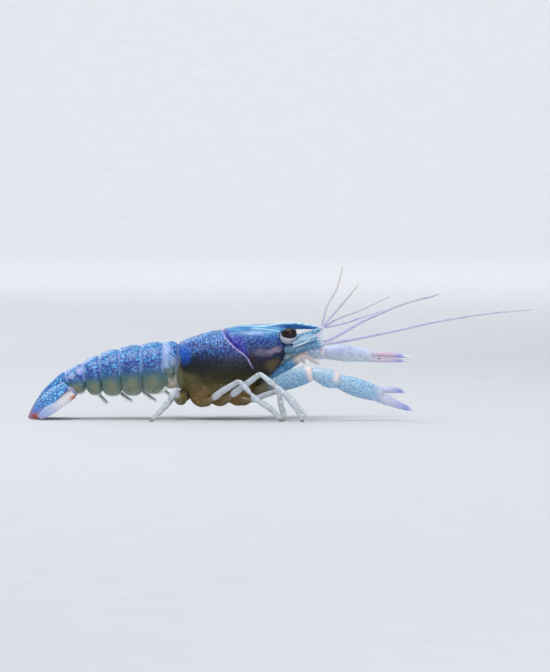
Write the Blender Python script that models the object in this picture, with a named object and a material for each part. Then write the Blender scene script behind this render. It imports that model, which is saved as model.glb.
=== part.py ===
"""A freshwater crayfish, life size, standing with its claws held forward.

+X is the way it faces, +Y its left side and +Z up. The floor is z = 0.
Sizes and places below are in millimetres, and MM turns them to metres.
"""

import math

import bmesh
import bpy
import numpy as np
from mathutils import Vector

MM = 0.001
GAP = 0.3  # what touching pieces keep between them
FLOOR = 0.0
SIDES = {"right": -1, "left": 1}

# Carapace, from its rear edge to the brow: x, top, bottom, half width, height of the widest place
CARAPACE = [
    (-24.7, 19.05, 7.2, 6.0, 13.0),
    (-23.4, 19.75, 5.8, 6.8, 13.0),
    (-21.0, 20.65, 5.0, 7.5, 12.8),
    (-17.5, 21.75, 4.5, 7.9, 12.6),
    (-14.0, 22.45, 4.4, 7.9, 12.8),
    (-10.5, 23.2, 4.6, 7.5, 13.4),
    (-7.2, 23.55, 5.4, 6.95, 14.4),
    (-4.2, 23.7, 7.9, 6.3, 15.8),
    (-1.4, 23.75, 10.8, 5.6, 17.2),
    (0.5, 23.75, 13.4, 4.9, 18.6),
    (1.7, 23.45, 15.4, 4.1, 19.4),
    (2.3, 22.9, 16.6, 3.2, 19.8),
]
CARAPACE_SIDES = 26
CARAPACE_STEPS = 2
# The hollow of the underside, where the legs and mouth parts start: x, ceiling, half width
HOLLOW = [
    (-25.6, 9.2, 3.0),
    (-22.0, 7.7, 3.9),
    (-17.5, 7.3, 4.2),
    (-12.0, 7.3, 4.1),
    (-8.0, 7.7, 3.7),
    (-5.0, 9.1, 3.2),
    (-2.0, 11.7, 3.0),
    (1.0, 14.4, 2.8),
    (4.0, 17.2, 2.5),
]
# The cervical groove in side view, top to bottom: x, z
GROOVE = [(-14.7, 26.0), (-13.9, 22.4), (-12.8, 20.5), (-11.1, 18.6), (-8.1, 16.3),
          (-7.2, 15.2), (-6.0, 12.9), (-5.5, 10.5), (-5.2, 3.0)]
REAR_MARGIN = (0.75, 10.8, 2.6, 1.5, 8.6)  # bulges back this far, at this height, this tall; curves forward this far, below this height

# Rostrum: x, height of the raised margins, half width, thickness
ROSTRUM = [
    (-10.5, 21.6, 2.0, 0.8),
    (-6.5, 22.75, 2.25, 1.1),
    (-2.5, 23.55, 2.55, 1.6),
    (1.4, 24.05, 2.6, 1.9),
    (4.5, 24.1, 2.05, 1.75),
    (6.5, 23.8, 1.6, 1.4),
    (8.4, 23.45, 1.1, 1.1),
    (10.6, 23.05, 0.3, 0.45),
]
ROSTRUM_TEETH = [3.3, 5.2, 7.2]  # x of each pair's root
TOOTH_LENGTH = 1.15
TOOTH_RADIUS = 0.34

# Abdomen, one row for each segment: x and top at its front seam and at its rear seam,
# half width, lowest point of the side lobes, height of the belly, half width of the belly
ABDOMEN = [
    (-25.15, 19.1, -28.25, 19.15, 5.9, 9.6, 11.0, 4.9),
    (-28.55, 19.15, -33.65, 18.5, 6.45, 6.3, 10.6, 5.2),
    (-33.95, 18.45, -39.15, 17.6, 6.35, 5.9, 10.1, 5.1),
    (-39.45, 17.5, -44.25, 16.1, 6.1, 5.8, 9.5, 4.9),
    (-44.55, 15.95, -48.45, 14.15, 5.6, 6.0, 8.9, 4.4),
    (-48.75, 14.0, -53.35, 11.75, 4.75, 6.3, 7.9, 3.7),
]
SEAM_LEAN = [0.0, 0.0, 0.03, 0.06, 0.1, 0.18, 0.2]  # how far each seam leans forward going down
ABDOMEN_DOME = 0.32  # how much a segment's back rises between its seams
LOBE_WALL = 0.85
STERNUM_SAG = 3.2  # how much lower the soft underside hangs under the first segment
LOBE_RISE = 1.7  # how much the lobes round up towards their neighbours
SWIMMERET_TIPS = [(-26.8, 5.9), (-30.5, 4.6), (-36.5, 4.5), (-42.6, 4.0)]  # x, z
SWIMMERET_RADIUS = 0.34

# Tail fan blades: root, tip, half width, thickness, roll about the length in degrees
TELSON = ((-53.75, 0.0, 11.0), (-62.25, 0.0, 0.2), 2.75, 1.05, 0.0)
INNER_BLADE = ((-53.3, 4.15, 8.3), (-61.2, 5.2, 0.75), 2.1, 0.7, 42.0)
OUTER_BLADE = ((-51.2, 5.35, 6.7), (-59.5, 7.8, 0.7), 2.1, 0.7, 50.0)
TELSON_BOW, INNER_BOW = 1.0, 0.6  # how far the blade bulges back between its ends
TELSON_ARCH = 1.2  # how far the edges of the telson curve down
TAIL_ROOT = [(-50.3, 3.5, 6.6, 0.75, 0.7), (-51.1, 3.9, 6.9, 1.05, 1.0), (-52.4, 4.6, 7.5, 0.95, 1.0)]

EYE_CENTRE = (2.75, 4.75, 21.4)
EYE_RADII = (1.95, 1.25, 1.42)
STALK_CENTRE = (2.5, 3.85, 20.6)
STALK_RADII = (2.2, 1.75, 1.9)

# Limbs are rows of x, y, z, half height, half depth, with y on the left side of the animal.
ANTENNA_BASE = [(1.9, 3.1, 17.4, 1.0, 0.9), (4.2, 3.5, 17.7, 1.2, 1.15), (7.4, 3.6, 18.25, 1.2, 1.1),
                (10.0, 3.6, 18.65, 1.0, 0.95), (11.4, 3.6, 18.85, 0.7, 0.7)]
ANTENNA_SCALE = ((3.6, 5.15, 18.9), (9.7, 4.4, 20.9), 1.2, 0.55, 58.0)
ANTENNULE_BASE = [(3.0, 1.45, 19.9, 0.6, 0.6), (5.5, 1.5, 20.5, 0.72, 0.68), (8.4, 1.45, 21.35, 0.68, 0.62),
                  (10.9, 1.25, 22.75, 0.55, 0.55)]
MAXILLIPED = [(-5.2, 1.75, 7.9, 0.9, 0.8), (-2.0, 1.9, 10.2, 1.0, 0.85), (1.0, 2.2, 12.4, 1.05, 0.85), (3.9, 2.5, 14.3, 1.05, 0.85),
              (6.0, 2.5, 15.75, 0.75, 0.7), (7.2, 2.5, 15.5, 0.52, 0.5), (8.7, 2.5, 14.6, 0.42, 0.42),
              (10.2, 2.5, 13.75, 0.3, 0.3)]

# Feelers: x, y, z, radius
ANTENNA_RIGHT = [(11.9, -3.6, 18.95, 0.46), (16.1, -4.6, 19.55, 0.44), (22.8, -7.6, 20.95, 0.4),
                 (30.7, -11.8, 22.75, 0.36), (38.6, -16.2, 24.7, 0.32), (46.4, -20.4, 26.2, 0.29),
                 (54.1, -24.2, 27.35, 0.27), (62.33, -27.4, 28.15, 0.16)]
ANTENNA_LEFT = [(11.9, 3.7, 19.1, 0.48), (16.2, 6.0, 21.3, 0.47), (20.7, 9.4, 23.8, 0.45),
                (25.5, 13.4, 25.85, 0.42), (30.4, 17.6, 27.75, 0.38), (34.9, 21.6, 29.0, 0.34),
                (38.6, 24.9, 29.75, 0.3), (40.9, 27.41, 30.4, 0.2)]
ANTENNULES = {
    "right_outer": [(11.3, -1.5, 23.25, 0.3), (14.6, -2.6, 27.1, 0.28), (17.4, -3.7, 30.4, 0.26), (19.9, -4.6, 33.6, 0.16)],
    "right_inner": [(11.55, -1.1, 22.95, 0.3), (15.0, -2.0, 25.1, 0.28), (20.9, -3.4, 27.4, 0.26), (27.7, -4.8, 30.7, 0.16)],
    "left_outer": [(11.0, 1.4, 23.3, 0.3), (12.3, 2.4, 28.2, 0.28), (14.6, 3.6, 32.2, 0.26), (16.2, 4.8, 37.7, 0.16)],
    "left_inner": [(11.6, 1.15, 22.8, 0.3), (16.1, 2.2, 23.7, 0.28), (20.2, 3.2, 25.0, 0.27), (26.2, 4.6, 26.9, 0.16)],
}

CLAW_RIGHT = {
    "base": [(-6.4, -2.2, 6.9, 1.3, 1.3), (-4.6, -4.3, 6.9, 1.6, 1.45), (-1.8, -6.0, 8.0, 1.75, 1.5), (-0.2, -7.0, 8.85, 1.95, 1.6)],
    "merus": [(0.45, -7.4, 9.1, 2.0, 1.65), (3.6, -9.1, 10.35, 2.35, 1.8), (6.6, -10.3, 11.35, 2.2, 1.75), (8.1, -10.7, 11.8, 1.9, 1.6)],
    "carpus": [(8.75, -10.75, 11.85, 1.4, 1.35), (10.6, -10.8, 11.35, 2.0, 1.7), (12.7, -10.8, 10.55, 2.3, 1.8), (14.85, -10.6, 9.95, 1.95, 1.6)],
    "palm": [(15.5, -10.5, 9.7, 1.8, 1.4), (18.4, -10.4, 8.65, 2.25, 1.6), (22.4, -10.1, 7.35, 2.15, 1.5), (25.3, -9.8, 6.5, 1.75, 1.25)],
    "fixed": [(22.6, -10.0, 6.6, 1.1, 1.0), (26.8, -9.6, 5.15, 1.28, 0.95), (29.3, -9.3, 4.1, 0.98, 0.75), (32.2, -8.9, 3.02, 0.58, 0.5), (33.9, -8.6, 2.6, 0.2, 0.2)],
    "finger": [(25.9, -9.7, 7.75, 0.85, 0.8), (28.4, -9.3, 7.6, 0.82, 0.7), (30.5, -8.9, 7.35, 0.48, 0.45), (32.0, -8.6, 6.85, 0.18, 0.18)],
}
CLAW_LEFT = {
    "base": [(-6.4, 2.25, 6.95, 1.3, 1.3), (-4.55, 4.35, 7.35, 1.6, 1.4), (-1.9, 6.0, 10.2, 1.6, 1.45), (-0.1, 6.9, 11.7, 1.75, 1.5)],
    "merus": [(0.35, 7.15, 12.15, 1.75, 1.5), (2.7, 7.9, 14.1, 1.95, 1.6), (5.0, 8.4, 15.75, 1.9, 1.6), (6.6, 8.7, 16.65, 1.65, 1.45)],
    "carpus": [(7.35, 8.8, 16.5, 1.15, 1.1), (8.6, 8.9, 16.25, 1.4, 1.35), (10.2, 8.9, 16.1, 1.6, 1.5), (11.6, 8.9, 16.15, 1.6, 1.4)],
    "palm": [(12.25, 8.9, 16.2, 1.65, 1.35), (15.5, 8.8, 16.15, 2.05, 1.55), (19.3, 8.6, 15.85, 1.95, 1.45), (23.2, 8.3, 15.45, 1.5, 1.15)],
    "fixed": [(20.8, 8.4, 14.85, 0.85, 0.85), (24.5, 8.2, 14.4, 0.62, 0.75), (29.3, 7.8, 14.25, 0.46, 0.55), (32.7, 7.5, 14.1, 0.16, 0.16)],
    "finger": [(23.95, 8.2, 15.95, 0.75, 0.8), (28.4, 7.9, 15.65, 0.62, 0.65), (31.0, 7.7, 15.45, 0.48, 0.5), (33.8, 7.5, 15.0, 0.15, 0.15)],
}
CLAW_SIDES = 12

# Walking legs: the upper row runs from the body to the knee, the lower one from the knee to the foot,
# and prong, on the legs with small pincers, is the second finger.
LEGS = {
    "right_2": {
        "upper": [(-10.2, -2.0, 6.0, 1.2, 1.6), (-9.7, -4.5, 4.9, 1.3, 1.75), (-6.6, -6.5, 5.0, 0.8, 0.8), (-3.2, -8.7, 6.3, 0.72, 0.66), (-0.5, -10.4, 7.25, 0.62, 0.6)],
        "lower": [(0.25, -10.7, 6.6, 0.56, 0.55), (0.6, -11.0, 4.6, 0.66, 0.6), (0.95, -11.1, 2.6, 0.62, 0.5), (1.25, -11.2, -0.3, 0.34, 0.32)],
        "prong": [(0.9, -11.1, 3.2, 0.4, 0.4), (1.7, -11.4, 1.7, 0.36, 0.34), (2.2, -11.6, 0.35, 0.16, 0.16)],
    },
    "right_3": {
        "upper": [(-14.7, -2.1, 5.9, 1.3, 1.7), (-14.4, -4.8, 4.85, 1.35, 1.9), (-13.2, -7.8, 5.0, 0.86, 0.86), (-8.8, -11.7, 8.5, 0.8, 0.72), (-4.8, -14.8, 11.55, 0.66, 0.62)],
        "lower": [(-3.75, -15.4, 11.35, 0.6, 0.58), (1.5, -17.0, 6.95, 0.78, 0.62), (3.9, -17.3, 4.5, 1.0, 0.66), (4.9, -17.3, 2.6, 0.62, 0.5), (6.25, -17.2, -0.3, 0.34, 0.32)],
        "prong": [(3.9, -17.3, 4.6, 0.6, 0.5), (6.2, -17.4, 2.5, 0.44, 0.4), (8.4, -17.5, 0.4, 0.16, 0.16)],
    },
    "right_4": {
        "upper": [(-18.8, -2.1, 5.9, 1.3, 1.7), (-18.5, -4.8, 4.8, 1.35, 1.85), (-17.3, -7.8, 4.7, 0.86, 0.86), (-13.6, -11.0, 7.5, 0.8, 0.72), (-10.0, -13.8, 9.8, 0.64, 0.62)],
        "lower": [(-8.95, -14.35, 9.35, 0.58, 0.56), (-5.3, -15.4, 5.45, 0.62, 0.58), (-1.3, -15.2, 2.7, 0.7, 0.6), (1.25, -14.6, -0.3, 0.34, 0.32)],
    },
    "right_5": {
        "upper": [(-22.9, -1.9, 6.6, 1.2, 1.4), (-24.0, -4.2, 5.4, 1.5, 1.5), (-24.9, -7.8, 5.2, 0.85, 0.85), (-25.2, -10.8, 6.9, 0.78, 0.74), (-25.35, -12.7, 7.75, 0.7, 0.68)],
        "lower": [(-25.9, -13.6, 7.0, 0.68, 0.62), (-28.0, -14.1, 3.9, 0.64, 0.58), (-30.1, -14.5, 1.7, 0.6, 0.52), (-31.8, -14.7, -0.3, 0.34, 0.32)],
    },
    "left_2": {
        "upper": [(-10.2, 2.0, 6.0, 1.2, 1.6), (-9.7, 4.5, 4.9, 1.3, 1.75), (-6.6, 6.5, 4.8, 0.8, 0.8), (-3.2, 8.7, 5.7, 0.72, 0.66), (-0.5, 10.4, 6.55, 0.62, 0.6)],
        "lower": [(0.3, 10.7, 5.95, 0.56, 0.55), (0.65, 11.0, 3.9, 0.66, 0.6), (0.95, 11.1, 2.2, 0.62, 0.5), (1.2, 11.2, -0.3, 0.34, 0.32)],
        "prong": [(0.9, 11.1, 2.8, 0.4, 0.4), (1.65, 11.4, 1.5, 0.36, 0.34), (2.1, 11.6, 0.35, 0.16, 0.16)],
    },
    "left_3": {
        "upper": [(-14.7, 2.1, 5.9, 1.3, 1.7), (-14.4, 4.8, 4.85, 1.35, 1.9), (-13.2, 7.8, 4.8, 0.86, 0.86), (-8.8, 11.2, 7.7, 0.8, 0.72), (-4.7, 13.9, 10.5, 0.66, 0.62)],
        "lower": [(-3.7, 14.5, 10.25, 0.6, 0.58), (1.4, 16.0, 5.85, 0.74, 0.62), (3.6, 16.3, 3.7, 0.9, 0.64), (4.5, 16.3, 2.2, 0.6, 0.5), (5.6, 16.2, -0.3, 0.34, 0.32)],
        "prong": [(3.6, 16.3, 3.8, 0.55, 0.5), (5.6, 16.4, 1.9, 0.42, 0.4), (7.1, 16.5, 0.4, 0.16, 0.16)],
    },
    "left_4": {
        "upper": [(-18.8, 2.1, 5.9, 1.3, 1.7), (-18.5, 4.8, 4.8, 1.35, 1.85), (-17.3, 7.8, 4.6, 0.86, 0.86), (-13.6, 10.5, 6.9, 0.8, 0.72), (-10.2, 12.8, 8.9, 0.64, 0.62)],
        "lower": [(-9.15, 13.4, 8.4, 0.58, 0.56), (-5.7, 14.9, 4.35, 0.62, 0.58), (-2.0, 15.1, 2.0, 0.68, 0.6), (0.1, 14.6, -0.3, 0.34, 0.32)],
    },
    "left_5": {
        "upper": [(-22.9, 1.9, 6.6, 1.2, 1.4), (-24.0, 4.2, 5.4, 1.5, 1.5), (-24.9, 7.8, 5.0, 0.85, 0.85), (-25.0, 10.8, 6.1, 0.78, 0.74), (-25.0, 12.7, 6.95, 0.7, 0.68)],
        "lower": [(-25.5, 13.6, 6.2, 0.68, 0.62), (-27.5, 14.1, 3.3, 0.64, 0.58), (-29.3, 14.5, 1.4, 0.6, 0.52), (-30.8, 14.7, -0.3, 0.34, 0.32)],
    },
}
LEG_SIDES = 8

MATERIALS = {
    "shell_blue": ((0.10, 0.28, 0.66), 0.32),
    "shell_thorax": ((0.22, 0.30, 0.34), 0.32),
    "tail_blade": ((0.32, 0.52, 0.78), 0.35),
    "eye_cornea": ((0.03, 0.015, 0.01), 0.06),
    "eye_stalk": ((0.66, 0.62, 0.55), 0.3),
    "claw_shell": ((0.50, 0.70, 0.84), 0.35),
    "leg_shell": ((0.64, 0.69, 0.76), 0.3),
    "feeler": ((0.55, 0.56, 0.80), 0.4),
}


def clear_scene():
    for obj in list(bpy.data.objects):
        bpy.data.objects.remove(obj, do_unlink=True)


def make_collection(name):
    collection = bpy.data.collections.new(name)
    bpy.context.scene.collection.children.link(collection)
    return collection


def make_materials():
    made = {}
    for name, (colour, roughness) in MATERIALS.items():
        material = bpy.data.materials.new(name)
        material.use_nodes = True
        shader = material.node_tree.nodes["Principled BSDF"]
        shader.inputs["Base Color"].default_value = (*colour, 1.0)
        shader.inputs["Roughness"].default_value = roughness
        shader.inputs["Metallic"].default_value = 0.0
        made[name] = material
    return made


def smooth_rows(rows, steps):
    """Rows of numbers, with steps - 1 more between each pair on a Catmull-Rom curve."""
    points = np.array(rows, float)
    ends = np.vstack([2 * points[0] - points[1], points, 2 * points[-1] - points[-2]])
    out = []
    for i in range(len(points) - 1):
        p0, p1, p2, p3 = ends[i : i + 4]
        for t in np.arange(steps) / steps:
            out.append(0.5 * (2 * p1 + (p2 - p0) * t + (2 * p0 - 5 * p1 + 4 * p2 - p3) * t**2
                              + (3 * p1 - p0 - 3 * p2 + p3) * t**3))
    out.append(points[-1])
    return np.array(out)


def finish_mesh(name, bm, material):
    bmesh.ops.remove_doubles(bm, verts=bm.verts, dist=0.00001)
    bmesh.ops.recalc_face_normals(bm, faces=bm.faces)
    if bm.calc_volume(signed=True) < 0:
        bmesh.ops.reverse_faces(bm, faces=bm.faces)
    mesh = bpy.data.meshes.new(name)
    bm.to_mesh(mesh)
    bm.free()
    mesh.materials.append(material)
    obj = bpy.data.objects.new(name, mesh)
    parts.objects.link(obj)
    return obj


def loft(name, rings, material):
    """A closed skin over rings of equal count, in millimetres, with a flat cap at each end."""
    bm = bmesh.new()
    made = [[bm.verts.new(Vector(p) * MM) for p in ring] for ring in rings]
    count = len(made[0])
    for first, second in zip(made, made[1:]):
        for i in range(count):
            j = (i + 1) % count
            bm.faces.new((first[i], first[j], second[j], second[i]))
    bm.faces.new(made[0][::-1])
    bm.faces.new(made[-1])
    return finish_mesh(name, bm, material)


def oval(centre, across, up, half_across, half_up, count):
    """A ring of points round centre."""
    angles = [2 * math.pi * k / count for k in range(count)]
    return [centre + across * (half_across * math.cos(a)) + up * (half_up * math.sin(a)) for a in angles]


def limb(name, rows, material, sides=LEG_SIDES, steps=2, blunt=(0.6, 0.6)):
    """A bent, tapering limb. Each end is rounded off to a share of its size."""
    path = smooth_rows(rows, steps)
    centres = [Vector(row[:3]) for row in path]
    sizes = [(row[3], row[4]) for row in path]
    rings = []
    for i, centre in enumerate(centres):
        ahead = centres[min(i + 1, len(centres) - 1)]
        behind = centres[max(i - 1, 0)]
        along = (ahead - behind).normalized()
        across = Vector((0, 0, 1)).cross(along)
        across = across.normalized() if across.length > 0.2 else Vector((0, 1, 0))
        up = along.cross(across).normalized()
        tall, deep = sizes[i]
        rings.append(oval(centre, across, up, deep, tall, sides))
        if i in (0, len(centres) - 1):
            share = blunt[0] if i == 0 else blunt[1]
            out = -along if i == 0 else along
            cap = oval(centre + out * (0.3 * tall), across, up, deep * share, tall * share, sides)
            rings.insert(0, cap) if i == 0 else rings.append(cap)
    return loft(name, rings, material)


def feeler(name, rows, material, steps=2):
    """A long tapering whip: a curve with a bevel, turned to a mesh with its caps welded."""
    data = bpy.data.curves.new(name, "CURVE")
    data.dimensions = "3D"
    data.bevel_depth = MM
    data.bevel_resolution = 1
    data.use_fill_caps = True
    path = smooth_rows(rows, steps)
    spline = data.splines.new("POLY")
    spline.points.add(len(path) - 1)
    for point, row in zip(spline.points, path):
        point.co = (*[value * MM for value in row[:3]], 1.0)
        point.radius = row[3]
    curve = bpy.data.objects.new(name + "_curve", data)
    parts.objects.link(curve)
    bpy.context.view_layer.update()
    graph = bpy.context.evaluated_depsgraph_get()
    bm = bmesh.new()
    bm.from_mesh(bpy.data.meshes.new_from_object(curve.evaluated_get(graph)))
    bpy.data.objects.remove(curve)
    return finish_mesh(name, bm, material)


def ball(name, centre, radii, material, segments=16):
    bm = bmesh.new()
    bmesh.ops.create_uvsphere(bm, u_segments=segments, v_segments=segments // 2, radius=MM)
    bmesh.ops.scale(bm, vec=Vector(radii), verts=bm.verts)
    bmesh.ops.translate(bm, vec=Vector(centre) * MM, verts=bm.verts)
    return finish_mesh(name, bm, material)


def spike(name, root, tip, radius, material):
    """A small cone from root to tip."""
    start, end = Vector(root), Vector(tip)
    bm = bmesh.new()
    length = (end - start).length
    bmesh.ops.create_cone(bm, cap_ends=True, segments=6, radius1=radius * MM, radius2=0.06 * MM, depth=length * MM)
    turn = (end - start).to_track_quat("Z", "Y").to_matrix()
    bmesh.ops.rotate(bm, matrix=turn, verts=bm.verts)
    bmesh.ops.translate(bm, vec=(start + end) * 0.5 * MM, verts=bm.verts)
    return finish_mesh(name, bm, material)


def blade(name, plan, side, material, root_share=0.55, ridges=(0.0,), arch=0.28, bow=0.25):
    """A flat tail blade or antennal scale: round at its end, with raised ribs along it."""
    root, tip, half_width, thickness, roll = plan
    start = Vector((root[0], root[1] * side, root[2]))
    end = Vector((tip[0], tip[1] * side, tip[2]))
    along = (end - start).normalized()
    flat = Vector((0, side, 0)) - along * along.dot(Vector((0, side, 0)))
    flat.normalize()
    down = along.cross(flat) * side
    down = down if down.z < 0 else -down
    angle = math.radians(roll)
    across = (flat * math.cos(angle) + down * math.sin(angle)).normalized()
    normal = along.cross(across).normalized()
    normal = normal if normal.z > 0 else -normal
    shares = [0.0, 0.12, 0.36, 0.6, 0.76, 0.88, 0.96, 1.0]
    places = [-1.0, -0.75, -0.45, -0.16, 0.0, 0.16, 0.45, 0.75, 1.0]
    rings = []
    for s in shares:
        swell = root_share + (1 - root_share) * math.sin(min(s / 0.5, 1.0) * math.pi / 2)
        fall = math.sqrt(max(1 - max((s - 0.68) / 0.34, 0.0) ** 2, 0.0))
        width = half_width * swell * fall
        thick = thickness * (1 - 0.45 * s)
        centre = start.lerp(end, s) + normal * (bow * math.sin(math.pi * s))
        top = []
        bottom = []
        for place in places:
            edge = 0.5 * thick * (1 - 0.55 * abs(place) ** 3)
            rib = 0.22 * max(0.0, 1 - min(abs(place - r) for r in ridges) / 0.12) * (1 - s) ** 0.3
            droop = -arch * place**2
            base = centre + across * (width * place) + normal * droop
            top.append(base + normal * (edge + rib))
            bottom.append(base - normal * edge)
        rings.append(top + bottom[::-1])
    return loft(name, rings, material)


def replace_mesh(obj):
    """Applies the object's modifiers."""
    bpy.context.view_layer.update()
    graph = bpy.context.evaluated_depsgraph_get()
    mesh = bpy.data.meshes.new_from_object(obj.evaluated_get(graph))
    obj.modifiers.clear()
    obj.data = mesh
    return obj


def keep_largest(obj):
    """Drops every loose surface but the one with the most faces' area."""
    bm = bmesh.new()
    bm.from_mesh(obj.data)
    left = set(bm.faces)
    shells = []
    while left:
        grow = [left.pop()]
        shell = list(grow)
        while grow:
            for edge in grow.pop().edges:
                for face in edge.link_faces:
                    if face in left:
                        left.remove(face)
                        grow.append(face)
                        shell.append(face)
        shells.append(shell)
    shells.sort(key=lambda faces: sum(face.calc_area() for face in faces))
    for shell in shells[:-1]:
        bmesh.ops.delete(bm, geom=shell, context="FACES")
    loose = [vert for vert in bm.verts if not vert.link_faces]
    bmesh.ops.delete(bm, geom=loose, context="VERTS")
    bm.to_mesh(obj.data)
    bm.free()
    return obj


def join(obj, pieces):
    """Fuses pieces into obj with one union on their collection, then removes them."""
    group = bpy.data.collections.new(obj.name + "_pieces")
    bpy.context.scene.collection.children.link(group)
    for piece in pieces:
        parts.objects.unlink(piece)
        group.objects.link(piece)
    fuse = obj.modifiers.new("fuse", "BOOLEAN")
    fuse.operation = "UNION"
    fuse.operand_type = "COLLECTION"
    fuse.collection = group
    replace_mesh(obj)
    for piece in pieces:
        bpy.data.objects.remove(piece)
    bpy.data.collections.remove(group)
    return keep_largest(obj)


def swollen(obj, by):
    """A hidden copy of obj, larger by that much all round."""
    mesh = obj.data.copy()
    copy = bpy.data.objects.new(obj.name + "_room", mesh)
    cutters.objects.link(copy)
    copy.hide_render = True
    copy.display_type = "WIRE"
    moves = [vert.normal * (by * MM) for vert in mesh.vertices]
    for vert, move in zip(mesh.vertices, moves):
        vert.co += move
    return copy


def cut(obj, cutter, operation="DIFFERENCE"):
    """Cuts with the exact solver, or with the manifold one where the exact one leaves nothing."""
    before = obj.data
    for solver in ("EXACT", "MANIFOLD"):
        obj.data = before
        carve = obj.modifiers.new("cut", "BOOLEAN")
        carve.operation = operation
        carve.object = cutter
        carve.solver = solver
        replace_mesh(obj)
        if obj.data.polygons:
            break
    return keep_largest(obj)


def make_room(obj, *others, by=GAP):
    """Cuts obj back so that it stays clear of the others."""
    for other in others:
        room = swollen(other, by)
        cut(obj, room)
        bpy.data.objects.remove(room)


def hide_cutter(obj):
    """Moves obj among the cutters, out of the render."""
    parts.objects.unlink(obj)
    cutters.objects.link(obj)
    obj.hide_render = True
    obj.display_type = "WIRE"
    return obj


def side_plate(name, outline, half_depth):
    """A cutter: an outline in x and z, carried across the animal."""
    rings = [[(x, y, z) for x, z in outline] for y in (-half_depth, half_depth)]
    return hide_cutter(loft(name, rings, None))


def margin_shift(x, z):
    """How far forward the carapace and the segment behind it sit, near the rear margin, at each height."""
    bulge, height, tall, forward, below = REAR_MARGIN
    near = min(max((-20.5 - x) / 4.2, 0.0), 1.0)
    return near * (forward * min(max((below - z) / 3.0, 0.0), 1.0) ** 1.5 - bulge * math.exp(-(((z - height) / tall) ** 2)))


def shell_ring(x, top, bottom, half_width, middle):
    """A cross-section of the carapace: arched above, tucked in below."""
    ring = []
    for k in range(CARAPACE_SIDES):
        angle = 2 * math.pi * k / CARAPACE_SIDES
        c, s = math.cos(angle), math.sin(angle)
        reach = top - middle if s > 0 else middle - bottom
        power = 0.92 if s > 0 else 0.72
        y = half_width * math.copysign(abs(c) ** power, c)
        z = middle + reach * math.copysign(abs(s) ** 1.0, s)
        ring.append((x + margin_shift(x, z), y, z))
    return ring


def hollow_ring(x, ceiling, half_width):
    """A cross-section of the hollow: a rounded ceiling over straight walls that run well below the body."""
    arch = [(x, half_width * math.cos(a), ceiling - half_width * 0.4 * (1 - math.sin(a)))
            for a in np.linspace(0, math.pi, 9)]
    return [*arch, (x, -half_width, -4.0), (x, half_width, -4.0)]


def make_body():
    """The carapace in one, with its rostrum, then parted at the cervical groove."""
    shape = smooth_rows(CARAPACE, CARAPACE_STEPS)
    whole = loft("head", [shell_ring(*row) for row in shape], shell["shell_blue"])
    rings = []
    for x, top, half_width, thick in smooth_rows(ROSTRUM, 2):
        places = [-1, -0.72, -0.4, 0, 0.4, 0.72, 1]
        rim = [0.0, -0.02, 0.22, 0.06, 0.22, -0.02, 0.0]
        upper = [(x, half_width * p, top - thick * 0.5 * r) for p, r in zip(places, rim)]
        lower = [(x, half_width * p * 0.8, top - thick * (1 - 0.25 * p * p)) for p in places]
        rings.append(upper + lower[::-1])
    pieces = [loft("rostrum", rings, shell["shell_blue"])]
    track = np.array(ROSTRUM)
    for n, x in enumerate(ROSTRUM_TEETH):
        for side in SIDES.values():
            y = np.interp(x, track[:, 0], track[:, 2]) * 0.88 * side
            z = np.interp(x, track[:, 0], track[:, 1]) - 0.3
            tip = (x + TOOTH_LENGTH, y * 0.99, z + 0.62)
            pieces.append(spike(f"tooth_{n}_{side}", (x - 0.35, y, z), tip, TOOTH_RADIUS, shell["shell_blue"]))
    join(whole, pieces)
    hollow = loft("hollow", [hollow_ring(*row) for row in smooth_rows(HOLLOW, 2)], None)
    cut(whole, hide_cutter(hollow))
    bpy.data.objects.remove(hollow)

    front = [(x, z) for x, z in GROOVE] + [(20.0, 3.0), (20.0, 30.0), (-15.2, 30.0)]
    rear = [(x - GAP, z) for x, z in GROOVE] + [(20.0, 2.0), (20.0, 31.0), (-15.5, 31.0)]
    front_plate = side_plate("front_plate", front, 12.0)
    rear_plate = side_plate("rear_plate", rear, 12.0)
    thorax = bpy.data.objects.new("thorax", whole.data.copy())
    thorax.data.materials.clear()
    thorax.data.materials.append(shell["shell_thorax"])
    parts.objects.link(thorax)
    cut(thorax, rear_plate)
    cut(whole, front_plate, "INTERSECT")
    for plate in (front_plate, rear_plate):
        bpy.data.objects.remove(plate)
    return whole, thorax


def segment_ring(share, row, leans, sag=0.0):
    """A cross-section of one abdomen segment, from its front seam at 0 to its rear seam at 1."""
    x_front, top_front, x_rear, top_rear, half_width, lobe, belly, belly_half = row
    x = x_front + (x_rear - x_front) * share
    top = top_front + (top_rear - top_front) * share + ABDOMEN_DOME * math.sin(math.pi * share)
    lean = leans[0] + (leans[1] - leans[0]) * share
    spread = half_width - 0.3 + 0.3 * math.sin(math.pi * share)
    hinge = belly + 0.9
    low = lobe + LOBE_RISE * abs(2 * share - 1) ** 3.0
    outer = []
    for k in range(4):
        drop = k / 4
        outer.append((-spread * (1.0 - 0.07 * (1 - drop)), low + (hinge - low) * drop))
    for k in range(13):
        angle = math.pi * (1 - k / 12)
        outer.append((spread * math.cos(angle), hinge + (top - hinge) * math.sin(angle) ** 0.94))
    outer += [(-y, z) for y, z in outer[3::-1]]
    wall = spread * 0.93 - LOBE_WALL
    side, floor = (low + belly - sag) / 2, belly - sag
    inner = [(wall, low + 0.12), (belly_half * 0.95, side), (belly_half * 0.72, floor), (0.0, floor - 0.35),
             (-belly_half * 0.72, floor), (-belly_half * 0.95, side), (-wall, low + 0.12)]
    shift = (1 - share) if sag else 0.0
    return [(x + lean * (top - z) + shift * min(margin_shift(-25.0, z), 0.0), y, z) for y, z in outer + inner]


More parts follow.
